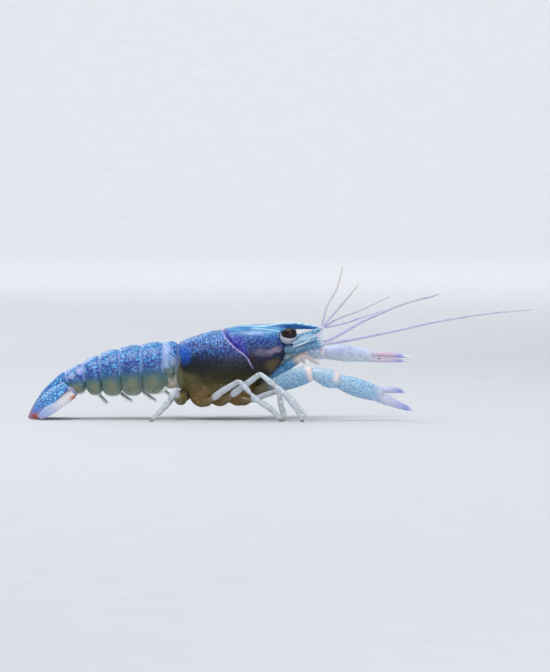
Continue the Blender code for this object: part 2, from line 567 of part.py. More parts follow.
def make_swimmerets(number, row):
    """A pair of swimmerets: each a short stalk with two blades, hanging down and forward."""
    x = row[0] * 0.62 + row[2] * 0.38
    belly = row[6]
    tip_x, tip_z = SWIMMERET_TIPS[number - 2]
    pieces = []
    for side in SIDES.values():
        knee_x, knee_z = x + 0.5, belly - 1.9
        stalk = [(x - 0.4, 2.6 * side, belly + 0.6, 0.6, 0.55), (x, 2.9 * side, belly - 0.7, 0.52, 0.48),
                 (knee_x, 3.1 * side, knee_z, 0.42, 0.4)]
        pieces.append(limb(f"stalk_{number}_{side}", stalk, shell["tail_blade"], 6, 1))
        for part, spread, reach in (("inner", -0.8, 0.9), ("outer", 0.7, 1.0)):
            run = (tip_x - knee_x) * reach
            drop = (tip_z - knee_z) * reach
            path = [(knee_x - 0.1, 3.05 * side, knee_z + 0.3, 0.3, 0.3),
                    (knee_x + 0.5 * run, (3.05 + 0.6 * spread) * side, knee_z + 0.55 * drop, SWIMMERET_RADIUS, 0.28),
                    (knee_x + run, (3.05 + spread) * side, knee_z + drop, 0.14, 0.12)]
            pieces.append(limb(f"swimmeret_{number}_{side}_{part}", path, shell["tail_blade"], 5, 1))
    return pieces


def make_abdomen():
    made = []
    for i, row in enumerate(ABDOMEN):
        shares = [0.0, 0.12, 0.35, 0.65, 0.88, 1.0]
        rings = [segment_ring(s, row, SEAM_LEAN[i : i + 2], 0.0 if i else STERNUM_SAG) for s in shares]
        segment = loft(f"abdomen_{i + 1}", rings, shell["shell_blue"])
        if 1 <= i <= 4:
            join(segment, make_swimmerets(i + 1, row))
        made.append(segment)
    return made


def right_copy(obj):
    """The same piece on the right side, named for it."""
    bm = bmesh.new()
    bm.from_mesh(obj.data)
    bmesh.ops.scale(bm, vec=Vector((1, -1, 1)), verts=bm.verts)
    return finish_mesh(obj.name.replace("left", "right"), bm, obj.data.materials[0])


def make_tail():
    """The telson and both uropods, each with a root, an inner and an outer blade."""
    telson = blade("telson", TELSON, 1, shell["tail_blade"], 0.85, (-0.45, 0.0, 0.45), TELSON_ARCH, TELSON_BOW)
    root = limb("uropod_left_root", TAIL_ROOT, shell["tail_blade"], 8, 2)
    inner = blade("uropod_left_inner", INNER_BLADE, 1, shell["tail_blade"], bow=INNER_BOW)
    outer = blade("uropod_left_outer", OUTER_BLADE, 1, shell["tail_blade"], 0.7)
    make_room(telson, segments[-1])
    make_room(inner, telson, root, segments[-1])
    make_room(outer, inner, root, segments[-1])
    make_room(root, segments[-1])
    stand_on_floor([telson, inner, outer])
    for piece in (root, inner, outer):
        right_copy(piece)


def make_head_pieces():
    """Eyes, the bases of the feelers and the maxillipeds: cut clear of the head, then mirrored."""
    cornea = ball("eye_left", EYE_CENTRE, EYE_RADII, shell["eye_cornea"], 14)
    stalk = ball("eyestalk_left", STALK_CENTRE, STALK_RADII, shell["eye_stalk"], 10)
    antenna = limb("antenna_left_base", ANTENNA_BASE, shell["claw_shell"], 10, 2)
    scale = blade("antenna_left_scale", ANTENNA_SCALE, 1, shell["claw_shell"], 0.7)
    antennule = limb("antennule_left_base", ANTENNULE_BASE, shell["claw_shell"], 8, 2)
    jaw = limb("maxilliped_left", MAXILLIPED, shell["claw_shell"], 8, 2)
    make_room(head, cornea, stalk)
    far_side = [right_copy(piece) for piece in (cornea, stalk)]
    make_room(head, *far_side)
    for piece in far_side:
        bpy.data.objects.remove(piece)
    make_room(stalk, cornea)
    make_room(antenna, head)
    make_room(scale, stalk, antenna, head)
    make_room(antennule, head)
    make_room(jaw, head)
    for piece in (cornea, stalk, antenna, scale, antennule, jaw):
        right_copy(piece)
    whips = {"antenna_right_whip": ANTENNA_RIGHT, "antenna_left_whip": ANTENNA_LEFT}
    whips.update({f"antennule_{name}": rows for name, rows in ANTENNULES.items()})
    bases = {obj.name: obj for obj in parts.objects if obj.name.endswith("_base")}
    for name, rows in whips.items():
        whip = feeler(name, rows, shell["feeler"])
        make_room(whip, bases[name.rpartition("_")[0] + "_base"])


def make_claw(word, plan):
    made = {}
    for part in ("base", "merus", "carpus", "palm", "finger"):
        name = f"claw_{word}_{part}"
        made[part] = limb(name, plan[part], shell["claw_shell"], CLAW_SIDES, 2, (0.75, 0.75))
    fixed = limb(f"claw_{word}_fixed", plan["fixed"], shell["claw_shell"], CLAW_SIDES, 2)
    join(made["palm"], [fixed])
    chain = list(made.values())
    for piece, before in zip(chain[1:], chain):
        make_room(piece, before)
    return made


def make_leg(word, plan):
    upper = limb(f"leg_{word}_upper", plan["upper"], shell["leg_shell"], LEG_SIDES, 1)
    knee = (*plan["upper"][-1][:3], *plan["lower"][0][3:])
    lower = limb(f"leg_{word}_lower", [knee, *plan["lower"]], shell["leg_shell"])
    if "prong" in plan:
        join(lower, [limb(f"leg_{word}_prong", plan["prong"], shell["leg_shell"], 6, 2)])
    make_room(lower, upper)
    return upper, lower


def stand_on_floor(objs):
    """Cuts what would dip under the floor to small flats at one level."""
    bm = bmesh.new()
    bmesh.ops.create_cube(bm, size=1.0)
    bmesh.ops.scale(bm, vec=Vector((0.2, 0.1, 0.01)), verts=bm.verts)
    bmesh.ops.translate(bm, vec=Vector((0, 0, FLOOR * MM - 0.005)), verts=bm.verts)
    ground = hide_cutter(finish_mesh("ground", bm, None))
    for obj in objs:
        cut(obj, ground)
    bpy.data.objects.remove(ground)


clear_scene()
parts = make_collection("crayfish")
cutters = make_collection("cutters")
shell = make_materials()

head, thorax = make_body()
segments = make_abdomen()
make_tail()
make_head_pieces()
claws = [make_claw("right", CLAW_RIGHT), make_claw("left", CLAW_LEFT)]
legs = [make_leg(word, plan) for word, plan in LEGS.items()]
near_claws = [parts.objects[f"{name}_{word}{end}"] for word in SIDES
              for name, end in (("leg", "_2_upper"), ("maxilliped", ""))]
for claw in claws:
    make_room(claw["base"], *near_claws, head, thorax)
for upper, lower in legs:
    make_room(upper, thorax)
stand_on_floor([lower for upper, lower in legs])
for obj in parts.objects:
    obj.data.shade_smooth()
    obj.data.set_sharp_from_angle(angle=math.radians(50))
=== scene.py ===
import math

import bmesh
import bpy
import numpy as np
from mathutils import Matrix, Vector, noise


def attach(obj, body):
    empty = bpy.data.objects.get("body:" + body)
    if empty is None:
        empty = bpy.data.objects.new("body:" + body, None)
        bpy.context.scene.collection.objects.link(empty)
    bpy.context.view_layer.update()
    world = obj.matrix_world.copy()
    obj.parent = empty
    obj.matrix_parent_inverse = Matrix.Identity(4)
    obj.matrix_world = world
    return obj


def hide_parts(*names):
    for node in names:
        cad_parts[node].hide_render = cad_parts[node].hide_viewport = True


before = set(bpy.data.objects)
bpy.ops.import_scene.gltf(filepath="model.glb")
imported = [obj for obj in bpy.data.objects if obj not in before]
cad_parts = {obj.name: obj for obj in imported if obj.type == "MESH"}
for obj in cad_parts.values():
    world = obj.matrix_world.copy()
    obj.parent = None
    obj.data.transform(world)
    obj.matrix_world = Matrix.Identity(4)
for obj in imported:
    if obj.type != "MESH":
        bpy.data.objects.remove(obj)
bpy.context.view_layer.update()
print("frame loaded:", len(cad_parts), "nodes")

metre = 0.001  # shapes are drawn in millimetres and become metres when they are placed
sides = {"right": -1, "left": 1}
mergeGap = 0.004  # points closer than this are one
domeAngles, domeReach = (0.35, 0.7, 1.05, 1.4), 0.45  # the rounded ends of a limb
rng = np.random.default_rng(7)


def linked(name, data):
    obj = bpy.data.objects.new(name, data)
    bpy.context.scene.collection.objects.link(obj)
    return obj


# colours are read off a colour picker as sRGB, and shaders want linear light
def hexLinear(code, alpha=1.0):
    parts = [int(code[i : i + 2], 16) / 255 for i in (1, 3, 5)]
    return (*[v / 12.92 if v <= 0.04045 else ((v + 0.055) / 1.055) ** 2.4 for v in parts], alpha)


# adds one node: settings are sockets or properties, and stops fill a colour ramp; links are what plugs in,
# a socket or a node for its first output
def addNode(tree, kind, settings=None, links=None):
    node = tree.nodes.new(kind)
    for name, value in (settings or {}).items():
        if name == "stops":
            points = node.color_ramp.elements
            while len(points) < len(value):
                points.new(0.5)
            for point, stop in zip(points, value):
                point.position = stop[0]
                point.color = hexLinear(*stop[1:])
        elif isinstance(name, int) or name in node.inputs:
            node.inputs[name].default_value = value
        else:
            setattr(node, name, value)
    for name, source in (links or {}).items():
        socket = source if isinstance(source, bpy.types.NodeSocket) else source.outputs[0]
        tree.links.new(socket, node.inputs[name])
    return node


def fade(values, start, run):  # from 0 at the start to 1 a run further on
    return np.clip((values - start) / run, 0, 1)


def bell(values, middle, reach):  # 1 at the middle, falling softly to both sides
    return np.exp(-(((values - middle) / reach) ** 2))


def bent(value, power):  # rounds a circle off towards a box, or the other way
    return math.copysign(abs(value) ** power, value)


def onSide(point, side):
    return (point[0], point[1] * side, point[2])


# a smooth curve through every row, with this many steps from one row to the next
def smoothRows(rows, steps):
    points = np.array(rows, float)
    ends = np.vstack([2 * points[0] - points[1], points, 2 * points[-1] - points[-2]])
    out = []
    for i in range(len(points) - 1):
        p0, p1, p2, p3 = ends[i : i + 4]
        for t in np.arange(steps) / steps:
            out.append(0.5 * (2 * p1 + (p2 - p0) * t + (2 * p0 - 5 * p1 + 4 * p2 - p3) * t**2
                              + (3 * p1 - p0 - 3 * p2 + p3) * t**3))
    return np.array([*out, points[-1]])


def meshObject(name, verts, faces):
    mesh = bpy.data.meshes.new(name)
    mesh.from_pydata([tuple(v) for v in verts], [], faces)
    bm = bmesh.new()
    bm.from_mesh(mesh)
    bmesh.ops.remove_doubles(bm, verts=bm.verts, dist=mergeGap)
    bmesh.ops.recalc_face_normals(bm, faces=bm.faces)
    if bm.calc_volume(signed=True) < 0:
        bmesh.ops.reverse_faces(bm, faces=bm.faces)
    bm.to_mesh(mesh)
    bm.free()
    return linked(name, mesh)


def fromBmesh(name, bm):
    mesh = bpy.data.meshes.new(name)
    bm.to_mesh(mesh)
    bm.free()
    return linked(name, mesh)


# a closed skin over rings of equal count
def loft(name, rings):
    count = len(rings[0])
    verts = [point for ring in rings for point in ring]
    last = len(verts) - count
    faces = [(k + i, k + (i + 1) % count, k + count + (i + 1) % count, k + count + i)
             for k in range(0, last, count) for i in range(count)]
    return meshObject(name, verts, [*faces, tuple(range(count))[::-1], tuple(range(last, len(verts)))])


# a bent tapering limb with domed ends; rows are x, y, z, half height, half depth
def limb(name, rows, around=28, steps=6):
    path = smoothRows(rows, steps)
    centres = [Vector(row[:3]) for row in path]
    turns = np.arange(around) * 2 * math.pi / around
    dome = [(math.sin(t), math.cos(t)) for t in domeAngles]
    rings = []
    for i, centre in enumerate(centres):
        along = (centres[min(i + 1, len(centres) - 1)] - centres[max(i - 1, 0)]).normalized()
        across = Vector((0, 0, 1)).cross(along)
        across = across.normalized() if across.length > 0.2 else Vector((0, 1, 0))
        up = along.cross(across).normalized()
        tall, deep = max(path[i][3], 0.05), max(path[i][4], 0.05)

        def ring(middle, share):
            return [middle + across * (deep * share * math.cos(a)) + up * (tall * share * math.sin(a)) for a in turns]

        if i == 0:
            rings += [ring(centre - along * (tall * domeReach * out), share) for out, share in dome[::-1]]
        rings.append(ring(centre, 1.0))
        if i == len(centres) - 1:
            rings += [ring(centre + along * (tall * domeReach * out), share) for out, share in dome]
    return loft(name, rings)


def ellipsoid(name, centre, radii, segments=48):
    bm = bmesh.new()
    bmesh.ops.create_uvsphere(bm, u_segments=segments, v_segments=segments // 2, radius=1.0)
    bmesh.ops.scale(bm, vec=Vector(radii), verts=bm.verts)
    bmesh.ops.translate(bm, vec=Vector(centre), verts=bm.verts)
    return fromBmesh(name, bm)


def modify(obj, kind, **settings):
    modifier = obj.modifiers.new(kind, kind)
    for name, value in settings.items():
        setattr(modifier, name, value)


def applied(obj):
    bpy.context.view_layer.update()
    graph = bpy.context.evaluated_depsgraph_get()
    mesh = bpy.data.meshes.new_from_object(obj.evaluated_get(graph))
    obj.modifiers.clear()
    obj.data = mesh
    return obj


# melts closed forms into one even skin and eases it
def fuse(name, objs, voxel, rounds=2):
    bm = bmesh.new()
    for obj in objs:
        bm.from_mesh(obj.data)
        bpy.data.objects.remove(obj)
    whole = fromBmesh(name, bm)
    modify(whole, "REMESH", mode="VOXEL", voxel_size=voxel)
    modify(whole, "SMOOTH", factor=0.5, iterations=rounds)
    return applied(whole)


def carve(obj, cutter):
    modify(obj, "BOOLEAN", operation="DIFFERENCE", object=cutter)
    applied(obj)
    bpy.data.objects.remove(cutter)


def pointsOf(obj):
    points = np.empty(len(obj.data.vertices) * 3)
    obj.data.vertices.foreach_get("co", points)
    return points.reshape(-1, 3)


def movePoints(obj, points):
    obj.data.vertices.foreach_set("co", points.ravel())
    obj.data.update()


# pushes each point out by a height in millimetres
def raiseSkin(obj, heights):
    normals = np.empty(len(obj.data.vertices) * 3, np.float32)
    obj.data.vertices.foreach_get("normal", normals)
    movePoints(obj, pointsOf(obj) + normals.reshape(-1, 3) * np.asarray(heights)[:, None])


# writes a number for each point, or one for all, that the material reads by name
def store(obj, **layers):
    for name, values in layers.items():
        layer = obj.data.attributes.new(name, "FLOAT", "POINT")
        layer.data.foreach_set("value", np.full(len(obj.data.vertices), values, np.float32))


# how far along a path each point lies, 0 to 1, and how far off it
def alongPath(points, path):
    path = np.asarray(path, float)[:, :3]
    lengths = np.linalg.norm(np.diff(path, axis=0), axis=1)
    starts = np.concatenate([[0], np.cumsum(lengths)])
    best = np.full(len(points), 1e9)
    share = np.zeros(len(points))
    for k, length in enumerate(lengths):
        step = path[k + 1] - path[k]
        t = np.clip(((points - path[k]) @ step) / max(length**2, 1e-9), 0, 1)
        off = np.linalg.norm(points - (path[k] + t[:, None] * step), axis=1)
        near = off < best
        best[near] = off[near]
        share[near] = ((starts[k] + t * length) / starts[-1])[near]
    return share, best


# small round bumps about this far apart, from 0 between them to 1 on top
def bumps(points, spacing, seed=0.0):
    away = [noise.voronoi(tuple(point))[0][0] for point in points / spacing + seed]
    return np.clip(1 - np.array(away) * 1.7, 0, 1) ** 0.8


# gives a finished mesh its material, its body and the solids that it stands for
def place(obj, material, nodes=()):
    for vert in obj.data.vertices:
        vert.co *= metre
    obj.data.materials.clear()
    obj.data.materials.append(finish[material])
    obj.data.shade_smooth()
    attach(obj, "root")
    if nodes:
        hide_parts(*nodes)


def aimed(obj, where, aim):
    obj.location = where
    obj.rotation_euler = (Vector(aim) - Vector(where)).to_track_quat("-Z", "Y").to_euler()


# camera and light
view = {"centre": (-0.75, 0.0, 20.7), "away": 1500.0, "tilt": 2.0, "lens": 321.4}
target = Vector(view["centre"]) * metre
tilt = math.radians(view["tilt"])
camera = linked("camera", bpy.data.cameras.new("camera"))
camera.data.sensor_fit = "VERTICAL"
camera.data.sensor_height = 36
camera.data.lens = view["lens"]
camera.data.clip_start = 0.01
aimed(camera, target + Vector((0, -math.cos(tilt), math.sin(tilt))) * view["away"] * metre, target)
bpy.context.scene.camera = camera
bpy.context.scene.view_settings.view_transform = "Standard"

studio = {
    "room": ("#eceff3", 0.6),
    "board": ("#cfd1d5", "#d2d4d8"),
    "floor": {"halfWidth": 7, "front": -5.0, "bend": 1.9, "radius": 1.2, "wall": (3.1, 6.0)},
    "lamps": [  # where, aimed at, size, watts, colour; all in metres
        ("overhead", (-0.05, -0.15, 0.80), (0.0, 0.0, 0.012), 0.6, 4.0, "#ffffff"),
        ("frontBox", (0.25, -0.85, 0.30), (0.0, 0.0, 0.012), 0.5, 1.5, "#f6f9ff"),
        ("backEdge", (-0.35, 0.50, 0.45), (0.0, 0.0, 0.015), 0.4, 1.4, "#eef5ff"),
        ("wallWash", (0.0, 1.1, 1.6), (0.0, 3.1, 0.7), 1.4, 34.0, "#ffffff"),
    ],
}
world = bpy.data.worlds.new("room")
world.use_nodes = True
sky = world.node_tree.nodes["Background"].inputs
sky["Color"].default_value = hexLinear(studio["room"][0])
sky["Strength"].default_value = studio["room"][1]
bpy.context.scene.world = world
for name, where, aim, size, watts, tone in studio["lamps"]:
    lamp = bpy.data.lights.new(name, "AREA")
    lamp.size = size
    lamp.energy = watts
    lamp.color = hexLinear(tone)[:3]
    aimed(linked(name, lamp), where, aim)

# the floor runs back and bends up into the wall behind, so no horizon shows
board = studio["floor"]
bend, radius = board["bend"], board["radius"]
sweep = [(board["front"], 0.0), (bend, 0.0), *[(bend + radius * math.sin(a), radius - radius * math.cos(a))
                                               for a in np.linspace(0.1, math.pi / 2, 16)], board["wall"]]
floorMesh = bpy.data.meshes.new("floor")
floorMesh.from_pydata([(x, y, z) for y, z in sweep for x in (-board["halfWidth"], board["halfWidth"])], [],
                      [(2 * k, 2 * k + 1, 2 * k + 3, 2 * k + 2) for k in range(len(sweep) - 1)])
floorMesh.shade_smooth()
# matte studio board: fine paper fibre that only just shows
paper = bpy.data.materials.new("matte studio board")
paper.use_nodes = True
paperTree = paper.node_tree
paperShader = paperTree.nodes["Principled BSDF"]
paperShader.inputs["Roughness"].default_value = 0.75
spot = addNode(paperTree, "ShaderNodeTexCoord")
fibre = addNode(paperTree, "ShaderNodeTexNoise", {"Scale": 90.0, "Detail": 4.0}, {"Vector": spot.outputs["Object"]})
tone = addNode(paperTree, "ShaderNodeValToRGB", {"stops": list(zip((0.35, 0.65), studio["board"]))}, {0: fibre})
paperTree.links.new(tone.outputs[0], paperShader.inputs["Base Color"])
floorMesh.materials.append(paper)
linked("floor", floorMesh)
print("camera, lamps and floor set")


# Crayfish shell is chitin stiffened with lime, pigmented in layers and wet: a clear skin over soft mottling.
# Heights run up the body in millimetres. Patches, stains and marks are soft ovals seen from the side: x, z,
# half width, half height, turn, colour, strength. Mottles and dots are colour, size, strength, how many, and
# the two heights between which they come in. Bands are ramps on an attribute, and their alpha is the strength.
shell = {"ovalDepth": 1000.0, "ovalEdge": (1.15, 0.35), "mottleEdge": 0.07, "wispEdge": 0.1, "calm": (0.72, 0.94),
         "dotEdge": (0.5, 0.3), "relief": 0.55, "coatRoughness": 0.16, "ior": 1.54, "sheenRoughness": 0.35,
         "scatter": (1.0, 0.9, 0.8), "scatterDepth": 0.0006}


def shellMaterial(name, look):
    material = bpy.data.materials.new(name)
    material.use_nodes = True
    tree = material.node_tree
    shader = tree.nodes["Principled BSDF"]

    def add(kind, settings=None, links=None):
        return addNode(tree, "ShaderNode" + kind, settings, links)

    inMm = add("VectorMath", {"operation": "SCALE", "Scale": 1 / metre}, {0: add("TexCoord").outputs["Object"]})
    cloud = add("TexNoise", {"Scale": 1 / look["cloudSize"], "Detail": 4.0}, {"Vector": inMm})
    centred = add("VectorMath", {"operation": "SUBTRACT", 1: (0.5, 0.5, 0.5)}, {0: cloud.outputs["Color"]})
    drift = add("VectorMath", {"operation": "SCALE", "Scale": look["wander"]}, {0: centred})
    spread = add("VectorMath", {"operation": "ADD"}, {0: inMm, 1: drift})
    height = add("SeparateXYZ", {}, {0: spread}).outputs["Z"]

    def heightRamp(stops):
        share = add("MapRange", dict(zip((1, 2), look["heights"])), {0: height})
        return add("ValToRGB", {"stops": stops}, {0: share}).outputs[0]

    def blend(under, over, factor, amount=1.0):
        scaled = add("Math", {"operation": "MULTIPLY", 1: amount, "use_clamp": True}, {0: factor})
        settings, links = {"data_type": "RGBA"}, {0: scaled, 6: under}
        if isinstance(over, str):
            settings[7] = hexLinear(over)
        else:
            links[7] = over
        return add("Mix", settings, links).outputs[2]

    def patched(under, patches):
        for x, z, wide, tall, turn, patch, strength in patches:
            local = add("Mapping", {"vector_type": "TEXTURE", "Location": (x, 0, z),
                                    "Rotation": (0, math.radians(-turn), 0),
                                    "Scale": (wide, shell["ovalDepth"], tall)}, {0: spread})
            reach = add("VectorMath", {"operation": "LENGTH"}, {0: local}).outputs["Value"]
            outer, inner = shell["ovalEdge"]
            inside = add("MapRange", {1: outer, 2: inner, "interpolation_type": "SMOOTHSTEP"}, {0: reach})
            under = blend(under, patch, inside, strength)
        return under

    colour = heightRamp(look["ramp"])
    rise = height
    if "levels" in look:  # the same, but by each plate's own level from 0 at its lobe to 1 on its back
        level = add("Attribute", {"attribute_name": "level"}).outputs["Fac"]
        waver = add("Math", {"operation": "MULTIPLY_ADD", 1: 0.16, 2: -0.08}, {0: cloud})
        rise = add("Math", {"operation": "ADD"}, {0: level, 1: waver})
        colour = add("ValToRGB", {"stops": look["levels"]}, {0: rise}).outputs[0]
    if "ahead" in look:  # in front of the cervical groove
        groove = add("Attribute", {"attribute_name": "groove"}).outputs["Fac"]
        colour = blend(colour, heightRamp(look["ahead"]), add("MapRange", {1: -0.25, 2: 0.25}, {0: groove}))
    colour = patched(colour, look.get("patches", []))
    quiet = add("Attribute", {"attribute_name": "calm"}).outputs["Fac"]
    loud = add("Math", {"operation": "SUBTRACT", 0: 1.0, "use_clamp": True}, {1: quiet})

    def faded(pattern, low, high):  # low and high fade a pattern by height, or by level
        kept = add("Math", {"operation": "MULTIPLY"}, {0: add("MapRange", {1: low, 2: high}, {0: rise}), 1: loud})
        return add("Math", {"operation": "MULTIPLY"}, {0: pattern, 1: kept})

    for shade, size, strength, cut, low, high in look.get("mottles", []):
        dapple = add("TexNoise", {"Scale": 1 / size, "Detail": 2.5, "Roughness": 0.6}, {"Vector": inMm})
        sharp = add("MapRange", {1: cut, 2: cut + shell["mottleEdge"]}, {0: dapple})
        colour = blend(colour, shade, faded(sharp, low, high), strength)
    for shade, length, width, strength, cut in look.get("streaks", []):  # wisps along the body, where it is calm
        thin = add("VectorMath", {"operation": "MULTIPLY", 1: (1 / length, 1 / width, 1 / width)}, {0: inMm})
        wisp = add("TexNoise", {"Scale": 1.0, "Detail": 2.0}, {"Vector": thin})
        sharp = add("MapRange", {1: cut, 2: cut + shell["wispEdge"]}, {0: wisp})
        calmest = add("MapRange", dict(zip((1, 2), shell["calm"])), {0: quiet})
        colour = blend(colour, shade, add("Math", {"operation": "MULTIPLY"}, {0: sharp, 1: calmest}), strength)
    for shade, size, strength, share, low, high in look.get("dots", []):  # round cells, of which a share show
        cells = add("TexVoronoi", {"Scale": 1 / size}, {"Vector": inMm})
        chance = add("SeparateColor", {}, {0: cells.outputs["Color"]})
        picked = add("Math", {"operation": "LESS_THAN", 1: share}, {0: chance})
        disc = add("MapRange", dict(zip((1, 2), shell["dotEdge"])), {0: cells.outputs["Distance"]})
        shown = add("Math", {"operation": "MULTIPLY"}, {0: disc, 1: picked})
        colour = blend(colour, shade, faded(shown, low, high), strength)
    colour = patched(colour, look.get("stains", []))  # these cover the mottling
    for attribute, low, high, stops in look.get("bands", []):
        reading = add("Attribute", {"attribute_name": attribute}).outputs["Fac"]
        band = add("ValToRGB", {"stops": stops}, {0: add("MapRange", {1: low, 2: high}, {0: reading})})
        colour = blend(colour, band.outputs[0], band.outputs[1])
    colour = patched(colour, look.get("marks", []))
    tree.links.new(colour, shader.inputs["Base Color"])

    grain, lift = look["grain"]  # pits this far apart and this deep
    pits = add("TexVoronoi", {"Scale": 1 / grain}, {"Vector": inMm})
    soft = add("TexNoise", {"Scale": 1 / (grain * 2.4), "Detail": 2.0}, {"Vector": inMm})
    rough = add("Math", {"operation": "ADD"}, {0: pits.outputs["Distance"], 1: soft})
    relief = add("Bump", {"Strength": shell["relief"], "Distance": lift * metre}, {"Height": rough})
    tree.links.new(relief.outputs[0], shader.inputs["Normal"])
    dull = add("MapRange", {1: 0.3, 2: 0.7, 3: look["rough"] - 0.06, 4: look["rough"] + 0.08}, {0: cloud})
    tree.links.new(dull.outputs[0], shader.inputs["Roughness"])
    fixed = {"Specular IOR Level": look.get("specular", 0.38), "Coat Weight": look["coat"],
             "Coat Roughness": shell["coatRoughness"], "IOR": shell["ior"], "Sheen Weight": look.get("sheen", 0.0),
             "Sheen Roughness": shell["sheenRoughness"]}
    if "clear" in look:  # a little light gets through thin shell
        fixed.update({"Subsurface Weight": look["clear"], "Subsurface Radius": shell["scatter"],
                      "Subsurface Scale": shell["scatterDepth"]})
    for socket, value in fixed.items():
        shader.inputs[socket].default_value = value
    return material


# sizes and places in millimetres: x forward, y to the left, z up
carapaceRows = [
    (-24.7, 19.05, 7.2, 6.0, 13.0),
    (-23.4, 19.75, 5.8, 6.8, 13.0),
    (-21.0, 20.65, 5.0, 7.5, 12.8),
    (-17.5, 21.75, 4.5, 7.9, 12.6),
    (-14.0, 22.45, 4.4, 7.9, 12.8),
    (-10.5, 23.2, 4.6, 7.5, 13.4),
    (-7.2, 23.55, 5.4, 6.95, 14.4),
    (-4.2, 23.7, 7.9, 6.3, 15.8),
    (-1.4, 23.75, 10.8, 5.6, 17.2),
    (0.5, 23.75, 13.4, 4.9, 18.6),
    (1.7, 23.45, 15.4, 4.1, 19.4),
    (2.3, 22.9, 16.6, 3.2, 19.8),
]
hollowRows = [
    (-25.6, 9.2, 3.0),
    (-22.0, 7.7, 3.9),
    (-17.5, 7.3, 4.2),
    (-12.0, 7.3, 4.1),
    (-8.0, 7.7, 3.7),
    (-5.0, 9.1, 3.2),
    (-2.0, 11.7, 3.0),
    (1.0, 14.4, 2.8),
    (4.0, 17.2, 2.5),
]
grooveLine = [(-14.7, 26.0), (-13.9, 22.4), (-12.8, 20.5), (-11.1, 18.6), (-8.1, 16.3), (-7.2, 15.2), (-6.0, 12.9),
              (-5.5, 10.5), (-5.2, 3.0)]
rostrumRows = [
    (-10.5, 21.6, 2.0, 0.8),
    (-6.5, 22.75, 2.25, 1.1),
    (-2.5, 23.55, 2.55, 1.6),
    (1.4, 24.05, 2.6, 1.9),
    (4.5, 24.1, 2.05, 1.75),
    (6.5, 23.8, 1.6, 1.4),
    (8.4, 23.45, 1.1, 1.1),
    (10.6, 23.05, 0.3, 0.45),
]
rostrumTeeth = [3.3, 5.2, 7.2]  # x of each pair's root
flankLobes = [(-18.9, 4.9, 7.0, (3.5, 2.6, 4.0)), (-14.5, 5.0, 7.2, (3.2, 2.7, 4.0)),
              (-9.9, 4.5, 7.2, (3.4, 2.5, 3.9))]  # over the roots of the legs
abdomenRows = [
    (-25.15, 19.1, -28.25, 19.15, 5.9, 9.6, 11.0, 4.9),
    (-28.55, 19.15, -33.65, 18.5, 6.45, 6.3, 10.6, 5.2),
    (-33.95, 18.45, -39.15, 17.6, 6.35, 5.9, 10.1, 5.1),
    (-39.45, 17.5, -44.25, 16.1, 6.1, 5.8, 9.5, 4.9),
    (-44.55, 15.95, -48.45, 14.15, 5.6, 6.0, 8.9, 4.4),
    (-48.75, 14.0, -53.35, 11.75, 4.75, 6.3, 7.9, 3.7),
]
seamLean = [0.0, 0.0, 0.03, 0.06, 0.1, 0.18, 0.2]  # how far each seam leans forward going down
swimmeretTips = [(-26.8, 5.9), (-30.5, 4.6), (-36.5, 4.5), (-42.6, 4.0)]  # x, z
telsonPlan = ((-53.15, 0.0, 11.3), (-62.25, 0.0, 0.2), 2.75, 1.05, 0.0)
innerBlade = ((-52.9, 4.05, 8.9), (-61.2, 5.2, 0.75), 2.45, 0.7, 42.0)
outerBlade = ((-51.2, 5.35, 6.7), (-59.5, 7.8, 0.7), 2.1, 0.7, 50.0)
tailRoot = [(-50.3, 3.5, 6.6, 0.75, 0.7), (-51.1, 3.9, 6.9, 1.05, 1.0), (-52.4, 4.6, 7.5, 0.95, 1.0)]
eyeCentre = (2.75, 4.75, 21.4)
eyeRadii = (1.95, 1.25, 1.42)
stalkCentre = (2.5, 3.85, 20.6)
stalkRadii = (2.2, 1.75, 1.9)
antennaBase = [(1.9, 3.1, 17.4, 1.0, 0.9), (4.2, 3.5, 17.7, 1.2, 1.15), (7.4, 3.6, 18.25, 1.2, 1.1),
               (10.0, 3.6, 18.65, 1.0, 0.95), (11.4, 3.6, 18.85, 0.7, 0.7)]
antennaScale = ((3.6, 5.15, 18.9), (9.7, 4.4, 20.9), 1.2, 0.55, 58.0)
antennuleBase = [(3.0, 1.45, 19.9, 0.6, 0.6), (5.5, 1.5, 20.5, 0.72, 0.68), (8.4, 1.45, 21.35, 0.68, 0.62),
                 (10.9, 1.25, 22.75, 0.55, 0.55)]
maxilliped = [(-5.2, 1.75, 7.9, 0.9, 0.8), (-2.0, 1.9, 10.2, 1.0, 0.85), (1.0, 2.2, 12.4, 1.05, 0.85),
              (3.9, 2.5, 14.3, 1.05, 0.85), (6.0, 2.5, 15.75, 0.75, 0.7), (7.2, 2.5, 15.5, 0.52, 0.5),
              (8.7, 2.5, 14.6, 0.42, 0.42), (10.2, 2.5, 13.75, 0.3, 0.3)]
antennaRight = [(11.9, -3.6, 18.95, 0.46), (16.1, -4.6, 19.55, 0.44), (22.8, -7.6, 20.95, 0.4),
                (30.7, -11.8, 22.75, 0.36), (38.6, -16.2, 24.7, 0.32), (46.4, -20.4, 26.2, 0.29),
                (54.1, -24.2, 27.35, 0.27), (62.33, -27.4, 28.15, 0.16)]
antennaLeft = [(11.9, 3.7, 19.1, 0.48), (16.2, 6.0, 21.3, 0.47), (20.7, 9.4, 23.8, 0.45), (25.5, 13.4, 25.85, 0.42),
               (30.4, 17.6, 27.75, 0.38), (34.9, 21.6, 29.0, 0.34), (38.6, 24.9, 29.75, 0.3),
               (40.9, 27.41, 30.4, 0.2)]
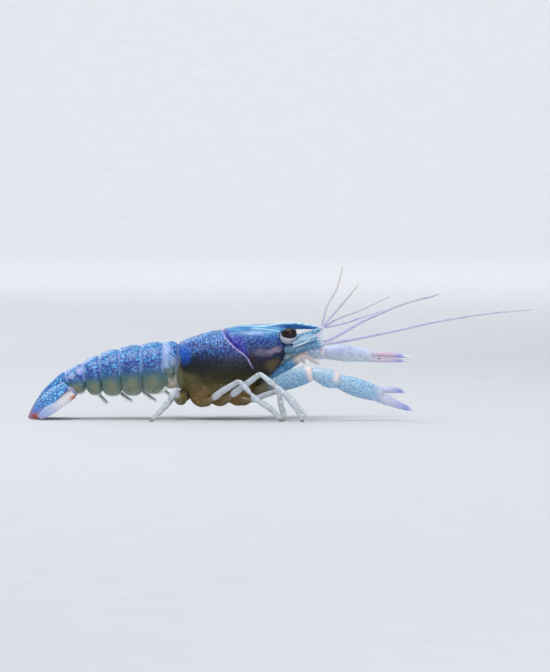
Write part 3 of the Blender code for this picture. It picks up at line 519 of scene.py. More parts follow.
antennuleWhips = {
    "right_outer": [(11.3, -1.5, 23.25, 0.3), (14.6, -2.6, 27.1, 0.28), (17.4, -3.7, 30.4, 0.26),
                    (19.9, -4.6, 33.6, 0.16)],
    "right_inner": [(11.55, -1.1, 22.95, 0.3), (15.0, -2.0, 25.1, 0.28), (20.9, -3.4, 27.4, 0.26),
                    (27.7, -4.8, 30.7, 0.16)],
    "left_outer": [(11.0, 1.4, 23.3, 0.3), (12.3, 2.4, 28.2, 0.28), (14.6, 3.6, 32.2, 0.26), (16.2, 4.8, 37.7, 0.16)],
    "left_inner": [(11.6, 1.15, 22.8, 0.3), (16.1, 2.2, 23.7, 0.28), (20.2, 3.2, 25.0, 0.27),
                   (26.2, 4.6, 26.9, 0.16)],
}
clawRight = {
    "base": [(-6.4, -2.2, 6.9, 1.3, 1.3), (-4.6, -4.3, 6.9, 1.6, 1.45), (-1.8, -6.0, 8.0, 1.75, 1.5),
             (-0.2, -7.0, 8.85, 1.95, 1.6)],
    "merus": [(0.45, -7.4, 9.1, 2.0, 1.65), (3.6, -9.1, 10.35, 2.35, 1.8), (6.6, -10.3, 11.35, 2.2, 1.75),
              (8.1, -10.7, 11.8, 1.9, 1.6)],
    "carpus": [(8.75, -10.75, 11.85, 1.4, 1.35), (10.6, -10.8, 11.35, 2.0, 1.7), (12.7, -10.8, 10.55, 2.3, 1.8),
               (14.85, -10.6, 9.95, 1.95, 1.6)],
    "palm": [(15.5, -10.5, 9.7, 1.8, 1.4), (18.4, -10.4, 8.65, 2.25, 1.6), (22.4, -10.1, 7.35, 2.15, 1.5),
             (25.3, -9.8, 6.5, 1.75, 1.25)],
    "fixed": [(22.6, -10.0, 6.6, 1.1, 1.0), (26.8, -9.6, 5.15, 1.28, 0.95), (29.3, -9.3, 4.1, 0.98, 0.75),
              (32.2, -8.9, 3.02, 0.58, 0.5), (33.9, -8.6, 2.6, 0.2, 0.2)],
    "finger": [(25.9, -9.7, 7.75, 0.85, 0.8), (28.4, -9.3, 7.6, 0.82, 0.7), (30.5, -8.9, 7.35, 0.48, 0.45),
               (32.0, -8.6, 6.85, 0.18, 0.18)],
}
clawLeft = {
    "base": [(-6.4, 2.25, 6.95, 1.3, 1.3), (-4.55, 4.35, 7.35, 1.6, 1.4), (-1.9, 6.0, 10.2, 1.6, 1.45),
             (-0.1, 6.9, 11.7, 1.75, 1.5)],
    "merus": [(0.35, 7.15, 12.15, 1.75, 1.5), (2.7, 7.9, 14.1, 1.95, 1.6), (5.0, 8.4, 15.75, 1.9, 1.6),
              (6.6, 8.7, 16.65, 1.65, 1.45)],
    "carpus": [(7.35, 8.8, 16.5, 1.15, 1.1), (8.6, 8.9, 16.25, 1.4, 1.35), (10.2, 8.9, 16.1, 1.6, 1.5),
               (11.6, 8.9, 16.15, 1.6, 1.4)],
    "palm": [(12.25, 8.9, 16.2, 1.65, 1.35), (15.5, 8.8, 16.15, 2.05, 1.55), (19.3, 8.6, 15.85, 1.95, 1.45),
             (23.2, 8.3, 15.45, 1.5, 1.15)],
    "fixed": [(20.8, 8.4, 14.85, 0.85, 0.85), (24.5, 8.2, 14.4, 0.62, 0.75), (29.3, 7.8, 14.25, 0.46, 0.55),
              (32.7, 7.5, 14.1, 0.16, 0.16)],
    "finger": [(23.95, 8.2, 15.95, 0.75, 0.8), (28.4, 7.9, 15.65, 0.62, 0.65), (31.0, 7.7, 15.45, 0.48, 0.5),
               (33.8, 7.5, 15.0, 0.15, 0.15)],
}
legs = {
    "right_2": {
        "upper": [(-10.2, -2.0, 6.0, 1.2, 1.6), (-9.7, -4.5, 4.9, 1.3, 1.75), (-6.6, -6.5, 5.0, 0.8, 0.8),
                  (-3.2, -8.7, 6.3, 0.72, 0.66), (-0.5, -10.4, 7.25, 0.62, 0.6)],
        "lower": [(0.25, -10.7, 6.6, 0.56, 0.55), (0.6, -11.0, 4.6, 0.66, 0.6), (0.95, -11.1, 2.6, 0.62, 0.5),
                  (1.25, -11.2, -0.3, 0.34, 0.32)],
        "prong": [(0.9, -11.1, 3.2, 0.4, 0.4), (1.7, -11.4, 1.7, 0.36, 0.34), (2.2, -11.6, 0.35, 0.16, 0.16)],
    },
    "right_3": {
        "upper": [(-14.7, -2.1, 5.9, 1.3, 1.7), (-14.4, -4.8, 4.85, 1.35, 1.9), (-13.2, -7.8, 5.0, 0.86, 0.86),
                  (-8.8, -11.7, 8.5, 0.8, 0.72), (-4.8, -14.8, 11.55, 0.66, 0.62)],
        "lower": [(-3.75, -15.4, 11.35, 0.6, 0.58), (1.5, -17.0, 6.95, 0.78, 0.62), (3.9, -17.3, 4.5, 1.0, 0.66),
                  (4.9, -17.3, 2.6, 0.62, 0.5), (6.25, -17.2, -0.3, 0.34, 0.32)],
        "prong": [(3.9, -17.3, 4.6, 0.6, 0.5), (6.2, -17.4, 2.5, 0.44, 0.4), (8.4, -17.5, 0.4, 0.16, 0.16)],
    },
    "right_4": {
        "upper": [(-18.8, -2.1, 5.9, 1.3, 1.7), (-18.5, -4.8, 4.8, 1.35, 1.85), (-17.3, -7.8, 4.7, 0.86, 0.86),
                  (-13.6, -11.0, 7.5, 0.8, 0.72), (-10.0, -13.8, 9.8, 0.64, 0.62)],
        "lower": [(-8.95, -14.35, 9.35, 0.58, 0.56), (-5.3, -15.4, 5.45, 0.62, 0.58), (-1.3, -15.2, 2.7, 0.7, 0.6),
                  (1.25, -14.6, -0.3, 0.34, 0.32)],
    },
    "right_5": {
        "upper": [(-22.9, -1.9, 6.6, 1.2, 1.4), (-24.0, -4.2, 5.4, 1.5, 1.5), (-24.9, -7.8, 5.2, 0.85, 0.85),
                  (-25.2, -10.8, 6.9, 0.78, 0.74), (-25.35, -12.7, 7.75, 0.7, 0.68)],
        "lower": [(-25.9, -13.6, 7.0, 0.68, 0.62), (-28.0, -14.1, 3.9, 0.64, 0.58), (-30.1, -14.5, 1.7, 0.6, 0.52),
                  (-31.8, -14.7, -0.3, 0.34, 0.32)],
    },
    "left_2": {
        "upper": [(-10.2, 2.0, 6.0, 1.2, 1.6), (-9.7, 4.5, 4.9, 1.3, 1.75), (-6.6, 6.5, 4.8, 0.8, 0.8),
                  (-3.2, 8.7, 5.7, 0.72, 0.66), (-0.5, 10.4, 6.55, 0.62, 0.6)],
        "lower": [(0.3, 10.7, 5.95, 0.56, 0.55), (0.65, 11.0, 3.9, 0.66, 0.6), (0.95, 11.1, 2.2, 0.62, 0.5),
                  (1.2, 11.2, -0.3, 0.34, 0.32)],
        "prong": [(0.9, 11.1, 2.8, 0.4, 0.4), (1.65, 11.4, 1.5, 0.36, 0.34), (2.1, 11.6, 0.35, 0.16, 0.16)],
    },
    "left_3": {
        "upper": [(-14.7, 2.1, 5.9, 1.3, 1.7), (-14.4, 4.8, 4.85, 1.35, 1.9), (-13.2, 7.8, 4.8, 0.86, 0.86),
                  (-8.8, 11.2, 7.7, 0.8, 0.72), (-4.7, 13.9, 10.5, 0.66, 0.62)],
        "lower": [(-3.7, 14.5, 10.25, 0.6, 0.58), (1.4, 16.0, 5.85, 0.74, 0.62), (3.6, 16.3, 3.7, 0.9, 0.64),
                  (4.5, 16.3, 2.2, 0.6, 0.5), (5.6, 16.2, -0.3, 0.34, 0.32)],
        "prong": [(3.6, 16.3, 3.8, 0.55, 0.5), (5.6, 16.4, 1.9, 0.42, 0.4), (7.1, 16.5, 0.4, 0.16, 0.16)],
    },
    "left_4": {
        "upper": [(-18.8, 2.1, 5.9, 1.3, 1.7), (-18.5, 4.8, 4.8, 1.35, 1.85), (-17.3, 7.8, 4.6, 0.86, 0.86),
                  (-13.6, 10.5, 6.9, 0.8, 0.72), (-10.2, 12.8, 8.9, 0.64, 0.62)],
        "lower": [(-9.15, 13.4, 8.4, 0.58, 0.56), (-5.7, 14.9, 4.35, 0.62, 0.58), (-2.0, 15.1, 2.0, 0.68, 0.6),
                  (0.1, 14.6, -0.3, 0.34, 0.32)],
    },
    "left_5": {
        "upper": [(-22.9, 1.9, 6.6, 1.2, 1.4), (-24.0, 4.2, 5.4, 1.5, 1.5), (-24.9, 7.8, 5.0, 0.85, 0.85),
                  (-25.0, 10.8, 6.1, 0.78, 0.74), (-25.0, 12.7, 6.95, 0.7, 0.68)],
        "lower": [(-25.5, 13.6, 6.2, 0.68, 0.62), (-27.5, 14.1, 3.3, 0.64, 0.58), (-29.3, 14.5, 1.4, 0.6, 0.52),
                  (-30.8, 14.7, -0.3, 0.34, 0.32)],
    },
}


# Geometry Nodes trees
def newTree(name, inputs):
    tree = bpy.data.node_groups.new(name, "GeometryNodeTree")
    for label, kind in {"Geometry": "Geometry", **inputs, "Material": "Material"}.items():
        tree.interface.new_socket(label, in_out="INPUT", socket_type="NodeSocket" + kind)
    tree.interface.new_socket("Geometry", in_out="OUTPUT", socket_type="NodeSocketGeometry")
    return tree, tree.nodes.new("NodeGroupInput").outputs


def closeTree(tree, geometry, material):
    real = addNode(tree, "GeometryNodeRealizeInstances", {}, {0: geometry})
    clad = addNode(tree, "GeometryNodeSetMaterial", {}, {"Geometry": real, "Material": material})
    tree.links.new(clad.outputs[0], tree.nodes.new("NodeGroupOutput").inputs[0])


def runTree(obj, tree, values, material):
    modifier = obj.modifiers.new("nodes", "NODES")
    modifier.node_group = tree
    for item in tree.interface.items_tree:
        if item.in_out == "INPUT" and item.name != "Geometry":  # a modifier knows its inputs by identifier
            modifier[item.identifier] = finish[material] if item.name == "Material" else values[item.name]
    applied(obj)


def pointCloud(name, points, edges=(), **layers):
    mesh = bpy.data.meshes.new(name)
    mesh.from_pydata([tuple(p) for p in points], edges, [])
    for label, values in layers.items():
        values = np.asarray(values, np.float32)
        kind, field = ("FLOAT_VECTOR", "vector") if values.ndim == 2 else ("FLOAT", "value")
        mesh.attributes.new(label, kind, "POINT").data.foreach_set(field, values.ravel())
    return linked(name, mesh)


# a whip of many short rings: a line of points, each with a width, grows into a ringed tube
whipTree, given = newTree("annulatedWhip", {"Ring Length": "Float", "Ring Depth": "Float", "Step": "Float"})
line = addNode(whipTree, "GeometryNodeMeshToCurve", {}, {"Mesh": given["Geometry"]})
fine = addNode(whipTree, "GeometryNodeResampleCurve", {"mode": "LENGTH"}, {"Curve": line, "Length": given["Step"]})
reach = addNode(whipTree, "GeometryNodeSplineParameter").outputs["Length"]
turns = addNode(whipTree, "ShaderNodeMath", {"operation": "DIVIDE"}, {0: reach, 1: given["Ring Length"]})
wave = addNode(whipTree, "ShaderNodeMath", {"operation": "FRACT"}, {0: turns})
dip = addNode(whipTree, "ShaderNodeMath", {"operation": "PINGPONG", 1: 0.5}, {0: wave})
soft = addNode(whipTree, "ShaderNodeMath", {"operation": "POWER", 1: 0.45}, {0: dip})
depth = addNode(whipTree, "ShaderNodeMath", {"operation": "MULTIPLY"}, {0: soft, 1: given["Ring Depth"]})
whole = addNode(whipTree, "ShaderNodeMath", {"operation": "ADD", 1: 0.82}, {0: depth})
width = addNode(whipTree, "GeometryNodeInputNamedAttribute", {"data_type": "FLOAT", "Name": "width"})
size = addNode(whipTree, "ShaderNodeMath", {"operation": "MULTIPLY"}, {0: width.outputs["Attribute"], 1: whole})
thick = addNode(whipTree, "GeometryNodeSetCurveRadius", {}, {"Curve": fine, "Radius": size})
keep = addNode(whipTree, "GeometryNodeStoreNamedAttribute", {"data_type": "FLOAT", "domain": "POINT", "Name": "ring"},
               {"Geometry": thick, "Value": dip})
circle = addNode(whipTree, "GeometryNodeCurvePrimitiveCircle", {"Resolution": 10, "Radius": 1.0})
tube = addNode(whipTree, "GeometryNodeCurveToMesh", {"Fill Caps": True}, {"Curve": keep, "Profile Curve": circle})
if "Scale" in tube.inputs:
    whipTree.links.new(size.outputs[0], tube.inputs["Scale"])
closeTree(whipTree, tube, given["Material"])

# bristles: each point grows one thin cone along its heading, as long as its reach
hairTree, given = newTree("bristles", {"Thickness": "Float", "Unevenness": "Float", "Seed": "Int"})
cone = addNode(hairTree, "GeometryNodeMeshCone",
               {"Vertices": 4, "Side Segments": 2, "Radius Top": 0.0, "Radius Bottom": 1.0, "Depth": 1.0})
heading = addNode(hairTree, "GeometryNodeInputNamedAttribute", {"data_type": "FLOAT_VECTOR", "Name": "heading"})
length = addNode(hairTree, "GeometryNodeInputNamedAttribute", {"data_type": "FLOAT", "Name": "reach"})
jitter = addNode(hairTree, "FunctionNodeRandomValue", {"data_type": "FLOAT", 2: -0.5, 3: 0.5},
                 {"Seed": given["Seed"]}).outputs[1]
uneven = addNode(hairTree, "ShaderNodeMath", {"operation": "MULTIPLY"}, {0: jitter, 1: given["Unevenness"]})
factor = addNode(hairTree, "ShaderNodeMath", {"operation": "ADD", 1: 1.0}, {0: uneven})
long = addNode(hairTree, "ShaderNodeMath", {"operation": "MULTIPLY"}, {0: length.outputs["Attribute"], 1: factor})
stretch = addNode(hairTree, "ShaderNodeCombineXYZ", {}, {0: given["Thickness"], 1: given["Thickness"], 2: long})
aim = addNode(hairTree, "FunctionNodeAlignRotationToVector", {"axis": "Z"}, {"Vector": heading.outputs["Attribute"]})
grown = addNode(hairTree, "GeometryNodeInstanceOnPoints", {},
                {"Points": given["Geometry"], "Instance": cone, "Rotation": aim, "Scale": stretch})
closeTree(hairTree, grown, given["Material"])


# hairs are root, heading and reach
def bristles(name, hairs, thickness, unevenness, seed):
    roots, headings, reaches = zip(*hairs)
    obj = pointCloud(name, roots, heading=np.array([tuple(h) for h in headings]), reach=reaches)
    runTree(obj, hairTree, {"Thickness": thickness, "Unevenness": unevenness, "Seed": seed}, "bristle")
    place(obj, "bristle")


# materials
looks = {}
# carapace: wet, finely pitted shell; cyan brow over deep blue cheeks, blue flanks going olive and ochre below
looks["carapace"] = {
    "heights": (4.0, 24.0), "cloudSize": 1.9, "wander": 2.2, "rough": 0.34, "coat": 0.1, "grain": (0.34, 0.05),
    "specular": 0.22,
    "ramp": [(0.0, "#8e743e"), (0.07, "#826838"), (0.16, "#68542e"), (0.26, "#484020"), (0.36, "#262612"),
             (0.46, "#121810"), (0.54, "#101a24"), (0.62, "#182c56"), (0.72, "#1e4a98"), (0.82, "#3874c4"),
             (0.92, "#62a2e0"), (1.0, "#90c4f0")],
    "ahead": [(0.0, "#4c4228"), (0.34, "#302e20"), (0.48, "#1e1c1a"), (0.58, "#161a2c"), (0.68, "#10204c"),
              (0.77, "#10307c"), (0.83, "#1c58a8"), (0.875, "#3080c0"), (0.93, "#4494c8"), (1.0, "#78bce0")],
    "patches": [(-22.6, 9.6, 4.0, 2.6, 0, "#706840", 0.55), (-24.6, 10.0, 1.0, 4.0, 0, "#7c8060", 0.5),
                (-6.4, 21.6, 3.8, 0.8, 0, "#b0c4ec", 0.55), (-23.2, 16.8, 2.3, 3.4, 0, "#0c60d4", 0.75),
                (-9.9, 19.2, 2.6, 1.9, -38, "#3428a8", 0.8), (-12.0, 17.6, 3.2, 2.0, -40, "#4c449c", 0.5)],
    "stains": [(-23.3, 16.8, 1.7, 2.8, 0, "#0c64dc", 0.2), (-3.6, 16.7, 3.0, 1.0, -6, "#7c7088", 0.5),
               (-0.9, 17.4, 2.4, 0.9, 14, "#a894a4", 0.65), (-1.0, 13.6, 3.0, 1.9, 18, "#68583a", 0.85),
               (-6.7, 15.1, 2.5, 0.9, -54, "#1a0e14", 0.9)],
    "mottles": [("#0e1a44", 0.7, 0.8, 0.5, 12.0, 15.0), ("#181c12", 0.5, 0.42, 0.53, 15.5, 10.0),
                ("#4488dc", 0.6, 0.85, 0.53, 14.6, 19.0), ("#4c3c9c", 0.8, 0.3, 0.58, 14.0, 16.5),
                ("#0a1230", 0.5, 0.8, 0.55, 11.5, 14.0)],
    "dots": [("#68aaee", 0.62, 0.75, 0.5, 15.0, 19.5), ("#b0dcfe", 0.5, 0.8, 0.4, 16.5, 20.0),
             ("#10245c", 0.5, 0.7, 0.3, 14.0, 18.0)],
    "streaks": [("#1c64a8", 4.5, 0.5, 0.8, 0.5), ("#b4e0f4", 5.5, 0.35, 0.7, 0.56)],
    # the purple band just ahead of the cervical groove is partly the shell's own purple and partly painted shade
    # beside the groove
    "bands": [("cheek", 0.0, 1.0, [(0.0, "#2c1c90", 0.0), (0.5, "#3a2cb0", 0.5), (1.0, "#2a1c88", 0.85)]),
              ("pale", 0.0, 1.0, [(0.0, "#c8b0ec", 0.0), (0.4, "#c8b0ec", 0.5), (1.0, "#f0e4f8", 0.92)]),
              # the brow band paints a white highlight along the top of the brow beside the rostrum, with darker blue
              # below it
              ("brow", 0.0, 2.0, [(0.0, "#d4f0fa", 0.85), (0.14, "#9cdcf4", 0.7), (0.24, "#2460b8", 0.75),
                                  (0.55, "#1c50a8", 0.8), (0.8, "#1c50a8", 0.0), (1.0, "#1c50a8", 0.0)]),
              ("ridge", 0.0, 1.0, [(0.0, "#a8dcf4", 0.0), (0.5, "#98d4f2", 0.35), (1.0, "#b8e4f6", 0.65)]),
              ("orbit", 0.0, 1.0, [(0.0, "#dce0f0", 0.95), (0.3, "#ccd0ec", 0.85), (0.6, "#94a4dc", 0.0),
                                   (1.0, "#94a4dc", 0.0)]),
              ("edge", 0.0, 1.0, [(0.0, "#a4b09c", 0.0), (0.5, "#94a48c", 0.45), (1.0, "#b4bca4", 0.8)])],
    "marks": [(-6.3, 15.1, 2.3, 0.42, -54, "#2c1216", 0.9)],
}
# abdomen plates: cyan flecks over blue, violet in the middle, see-through green-grey side lobes with pale rims
looks["abdomen"] = {
    "heights": (5.5, 19.5), "cloudSize": 1.5, "wander": 1.8, "rough": 0.3, "coat": 0.25, "grain": (0.3, 0.04),
    "clear": 0.06, "specular": 0.32,
    "ramp": [(0.0, "#8a8c6c"), (1.0, "#5ab4ec")],
    "levels": [(0.0, "#98a08c"), (0.12, "#6c7c6c"), (0.26, "#5c7068"), (0.36, "#467074"), (0.46, "#2c6080"),
               (0.55, "#264a8c"), (0.66, "#303c90"), (0.76, "#1c4ca8"), (0.88, "#185cb0"), (1.0, "#2878c0")],
    "mottles": [("#14387c", 0.6, 0.8, 0.52, 0.36, 0.5), ("#6c50b4", 0.62, 0.6, 0.56, 0.44, 0.56),
                ("#50b0ec", 0.5, 0.9, 0.54, 0.42, 0.72), ("#34504a", 0.5, 0.5, 0.53, 0.5, 0.3),
                ("#10286c", 0.44, 0.8, 0.6, 0.4, 0.55)],
    "dots": [("#64c0f0", 0.6, 0.9, 0.5, 0.42, 0.7), ("#b8e8fc", 0.46, 0.8, 0.28, 0.6, 0.95),
             ("#0c2c74", 0.46, 0.75, 0.25, 0.5, 0.7)],
    "stains": [(-49.3, 12.4, 1.4, 1.0, 0, "#b0b0e8", 0.7), (-51.6, 11.0, 1.0, 0.9, 0, "#b4c4ec", 0.6),
               (-25.9, 14.6, 1.5, 1.8, 0, "#b0b4dc", 0.5)],
    "bands": [("seam", 0.0, 1.0, [(0.0, "#88a8e0", 0.0), (0.5, "#90b0e4", 0.4), (1.0, "#b8ccf0", 0.8)]),
              ("warm", 0.0, 1.0, [(0.0, "#948c64", 0.0), (1.0, "#948c64", 0.5)]),
              ("rim", 0.0, 1.0, [(0.0, "#e0e8e4", 0.95), (0.16, "#c0d0c8", 0.8), (0.26, "#4c6468", 0.5),
                                 (0.45, "#4c6468", 0.0), (1.0, "#9cb0a0", 0.0)]),
              ("soft", 0.0, 1.0, [(0.0, "#b8ae94", 0.0), (0.5, "#b8ae94", 0.6), (1.0, "#ccc4ac", 0.9)])],
}
# tail fan: thinner shell, blue-lavender with warm tips
looks["tail"] = {
    "heights": (0.0, 12.0), "cloudSize": 1.4, "wander": 1.2, "rough": 0.34, "coat": 0.2, "grain": (0.26, 0.03),
    "clear": 0.06, "specular": 0.32,
    "ramp": [(0.0, "#a890a8"), (0.1, "#8484c4"), (0.28, "#3c74c0"), (0.6, "#2470bc"), (1.0, "#2c80cc")],
    "mottles": [("#143c90", 0.6, 0.75, 0.52, 1.0, 5.0), ("#60bcee", 0.52, 0.85, 0.52, 1.5, 5.0),
                ("#7c68c0", 0.8, 0.5, 0.58, 0.0, 1.0)],
    "dots": [("#84d0f4", 0.6, 0.9, 0.5, 1.5, 5.0), ("#c4ecfc", 0.5, 0.8, 0.35, 3.0, 8.0)],
    "bands": [("outer", 0.0, 1.0, [(0.0, "#9cb4e0", 0.0), (0.5, "#a4b8e0", 0.65), (1.0, "#d4d0d4", 0.95)]),
              # on the outer blades the dark blue rib band is painted shade along the upper edge, where the blade lies
              # against the inner one; on the telson and inner blades it darkens the ridges
              ("rib", 0.0, 1.0, [(0.0, "#1c48a4", 0.5), (0.35, "#1c48a4", 0.0), (1.0, "#1c48a4", 0.0)]),
              ("ember", 0.0, 1.0, [(0.0, "#c07858", 0.0), (0.5, "#b86040", 0.6), (1.0, "#983c20", 0.95)])],
}
# claws: pale sky-blue, granular, pinkish at the joints and white on the finger tips
looks["claw"] = {
    "heights": (2.0, 18.0), "cloudSize": 1.6, "wander": 1.6, "rough": 0.38, "coat": 0.25, "grain": (0.26, 0.05),
    "clear": 0.06,
    "ramp": [(0.0, "#b8cce4"), (0.3, "#94c0e0"), (0.55, "#98c4e0"), (0.68, "#b8d4e2"), (0.8, "#dce8ee"),
             (0.9, "#ccd4f0"), (1.0, "#c4d0f0")],
    "sheen": 0.25,
    "mottles": [("#4880b8", 0.5, 0.5, 0.52, 18.0, 9.0), ("#e0f0fa", 0.45, 0.4, 0.55, 2.0, 5.0),
                ("#9490d4", 1.1, 0.35, 0.58, 2.0, 6.0)],
    "dots": [("#386498", 0.42, 0.45, 0.4, 18.0, 10.0), ("#ecf8fc", 0.4, 0.3, 0.3, 3.0, 5.0)],
    "bands": [("merus", 0.0, 1.0, [(0.0, "#5c8cb4", 0.0), (0.5, "#5c8cb4", 0.0), (0.8, "#5c8cb4", 0.4),
                                   (1.0, "#4c7ca8", 0.6)]),
              ("finger", 0.0, 1.0, [(0.0, "#dcd8e8", 0.0), (0.28, "#dcd4e8", 0.7), (0.5, "#d0cce8", 0.8),
                                    (0.68, "#b2b8e6", 0.85), (0.8, "#8e96dc", 0.9), (0.86, "#a2a8e2", 0.9),
                                    (0.92, "#d8dcee", 0.95), (1.0, "#ecedf2", 1.0)]),
              ("root", 0.0, 1.0, [(0.0, "#7c7c68", 0.0), (0.45, "#746c4c", 0.75), (1.0, "#5c5430", 0.96)]),
              ("blush", 0.0, 1.0, [(0.0, "#e0b4c4", 0.0), (1.0, "#dcb0c4", 0.75)]),
              ("cream", 0.0, 1.0, [(0.0, "#dcd4dc", 0.0), (0.35, "#dcd0d8", 0.45), (1.0, "#f0e0da", 0.93)])],
    "marks": [(25.5, 14.9, 0.4, 0.36, 0, "#2c2424", 0.95)],
}
# walking legs: nearly see-through lavender-white shell, pink at the joints
looks["leg"] = {
    "heights": (0.0, 12.0), "cloudSize": 1.3, "wander": 1.2, "rough": 0.34, "coat": 0.35, "grain": (0.3, 0.03),
    "clear": 0.15,
    "ramp": [(0.0, "#d4d0cc"), (0.15, "#ccd2d8"), (0.5, "#c4ccd4"), (1.0, "#ccd6de")],
    "sheen": 0.3,
    "mottles": [("#8494b0", 0.8, 0.4, 0.55, 0.0, 1.0), ("#ecf0f4", 0.6, 0.5, 0.57, 0.0, 1.0)],
    "bands": [("hip", 0.0, 1.0, [(0.0, "#887444", 0.0), (0.3, "#786430", 0.88), (1.0, "#6c5a2a", 0.98)]),
              ("joint", 0.0, 1.0, [(0.0, "#a89c98", 0.0), (1.0, "#a8948c", 0.4)]),
              ("claw", 0.0, 1.0, [(0.0, "#7c5c50", 0.0), (1.0, "#6c4c40", 0.75)])],
}
# stalks and scales of the feelers: grey-blue shell with pale ridges; on the scales these are whitish margins,
# brightened as painted highlight
looks["peduncle"] = {
    "heights": (16.0, 24.0), "cloudSize": 1.1, "wander": 1.0, "rough": 0.36, "coat": 0.3, "grain": (0.28, 0.04),
    "clear": 0.05,
    "ramp": [(0.0, "#547c98"), (0.25, "#6898bc"), (0.45, "#6ca0c4"), (0.8, "#70acd0"), (1.0, "#90c0dc")],
    "mottles": [("#2c5c90", 0.6, 0.55, 0.53, 0.0, 1.0), ("#c4dcea", 0.5, 0.6, 0.56, 0.0, 1.0)],
    # where rib is 0 a pale line is painted: the scale's whitish margins and keel, brightened as painted highlight
    "bands": [("rib", 0.0, 1.0, [(0.0, "#d8e4ec", 0.8), (0.3, "#d8e4ec", 0.0), (1.0, "#d8e4ec", 0.0)]),
              ("cuff", 0.0, 1.0, [(0.0, "#c4c8e4", 0.0), (1.0, "#d0d0e8", 0.85)])],
}
# outer mouthparts: sky-blue shell going to cream where the inner joints start
looks["mouthpart"] = {
    "heights": (8.0, 18.0), "cloudSize": 1.1, "wander": 1.0, "rough": 0.36, "coat": 0.3, "grain": (0.28, 0.04),
    "clear": 0.06,
    "ramp": [(0.0, "#6c94ac"), (0.35, "#4c8cbc"), (0.6, "#4890c4"), (0.75, "#a0b8c0"), (1.0, "#d8ccbc")],
    "mottles": [("#2c649c", 0.6, 0.5, 0.54, 8.0, 9.0), ("#b8dcf0", 0.5, 0.5, 0.57, 8.0, 9.0)],
    "bands": [("ends", 0.0, 1.0, [(0.0, "#dcccbc", 0.0), (0.58, "#dcccbc", 0.0), (0.68, "#ecdcc8", 0.9),
                                  (0.8, "#f0dcd8", 0.9), (1.0, "#f4e4e0", 0.95)])],
}
finish = {name: shellMaterial(name + " shell", look) for name, look in looks.items()}

# feelers: lavender rings with a darker seam between each pair
finish["feeler"] = shellMaterial("ringed feeler", {
    "heights": (15.0, 32.0), "cloudSize": 2.5, "wander": 1.0, "rough": 0.42, "coat": 0.15, "grain": (0.3, 0.02),
    "ramp": [(0.0, "#d6d2e6"), (0.4, "#cecaea"), (0.7, "#d4d0e2"), (1.0, "#dcd4d6")],
    "mottles": [("#9894d0", 1.6, 0.35, 0.55, 0.0, 1.0)],
    "bands": [("ring", 0.0, 0.5, [(0.0, "#5c548c", 0.35), (0.3, "#5c548c", 0.0), (1.0, "#5c548c", 0.0)])]})
# membrane: soft skin without lime, duller than the shell and a little see-through
finish["membrane"] = shellMaterial("joint membrane", {
    "heights": (0.0, 24.0), "cloudSize": 1.0, "wander": 1.0, "rough": 0.5, "coat": 0.15, "grain": (0.2, 0.04),
    "clear": 0.3,
    "ramp": [(0.0, "#c8bca8"), (0.42, "#c8bcb4"), (0.52, "#8c98b4"), (0.62, "#5070b4"), (1.0, "#5888c8")],
    "mottles": [("#8880a0", 0.6, 0.4, 0.55, 0.0, 1.0)],
    "stains": [(-53.8, 9.6, 2.4, 3.0, 0, "#3070b8", 0.95)]})
# bristles: amber horn, slightly see-through
finish["bristle"] = shellMaterial("horn bristles", {
    "heights": (0.0, 20.0), "cloudSize": 0.8, "wander": 0.5, "rough": 0.45, "coat": 0.1, "grain": (0.2, 0.01),
    "clear": 0.2,
    "ramp": [(0.0, "#c8a484"), (0.5, "#b8a490"), (1.0, "#c8bca8")]})
# eye stalks: smooth thin shell, grey-lilac below and bluer towards the brow
finish["stalk"] = shellMaterial("eye stalk", {
    "heights": (18.5, 22.5), "cloudSize": 0.8, "wander": 0.5, "rough": 0.38, "coat": 0.3, "grain": (0.22, 0.02),
    "clear": 0.1,
    "ramp": [(0.0, "#8c90a8"), (0.3, "#c4c4cc"), (0.5, "#c8ccd8"), (0.7, "#a4acd0"), (1.0, "#6c88c0")],
    "mottles": [("#7c8098", 0.45, 0.6, 0.55, 18.0, 18.5)]})
# cornea: black and glossy with fine facets, and a dark red painted reflection at the middle, where it faces the
# camera
cornea = bpy.data.materials.new("wet faceted cornea")
cornea.use_nodes = True
corneaTree = cornea.node_tree
corneaShader = corneaTree.nodes["Principled BSDF"]
eyeSpot = addNode(corneaTree, "ShaderNodeTexCoord").outputs["Object"]
eyeMm = addNode(corneaTree, "ShaderNodeVectorMath", {"operation": "SCALE", "Scale": 1 / metre}, {0: eyeSpot})
facets = addNode(corneaTree, "ShaderNodeTexVoronoi", {"Scale": 14.0}, {"Vector": eyeMm}).outputs["Distance"]
facetLift = addNode(corneaTree, "ShaderNodeBump", {"Strength": 0.25, "Distance": 0.00001}, {"Height": facets})
# painted reflection: the base colour follows the view, dark red where the cornea faces the camera and black towards
# its edges
facing = addNode(corneaTree, "ShaderNodeLayerWeight", {"Blend": 0.35}).outputs["Facing"]
emberAndGlint = addNode(corneaTree, "ShaderNodeValToRGB", {"stops": [(0.0, "#200a04"), (0.4, "#0c0403"), (1.0, "#050303")]},
               {0: facing})
corneaTree.links.new(emberAndGlint.outputs[0], corneaShader.inputs["Base Color"])
corneaTree.links.new(facetLift.outputs[0], corneaShader.inputs["Normal"])
gloss = {"Roughness": 0.12, "Coat Weight": 0.2, "Specular IOR Level": 0.22, "Coat Roughness": 0.04}
for socket, value in gloss.items():
    corneaShader.inputs[socket].default_value = value
finish["cornea"] = cornea
print("materials mixed:", len(finish))


# carapace: one skin from the rear edge to the rostrum tip
def marginShift(x, z):  # how far its rear edge bows forward or back at a height
    return fade(x, -20.5, -4.2) * (1.5 * fade(z, 8.6, -3) ** 1.5 - 0.75 * bell(z, 10.8, 2.6))


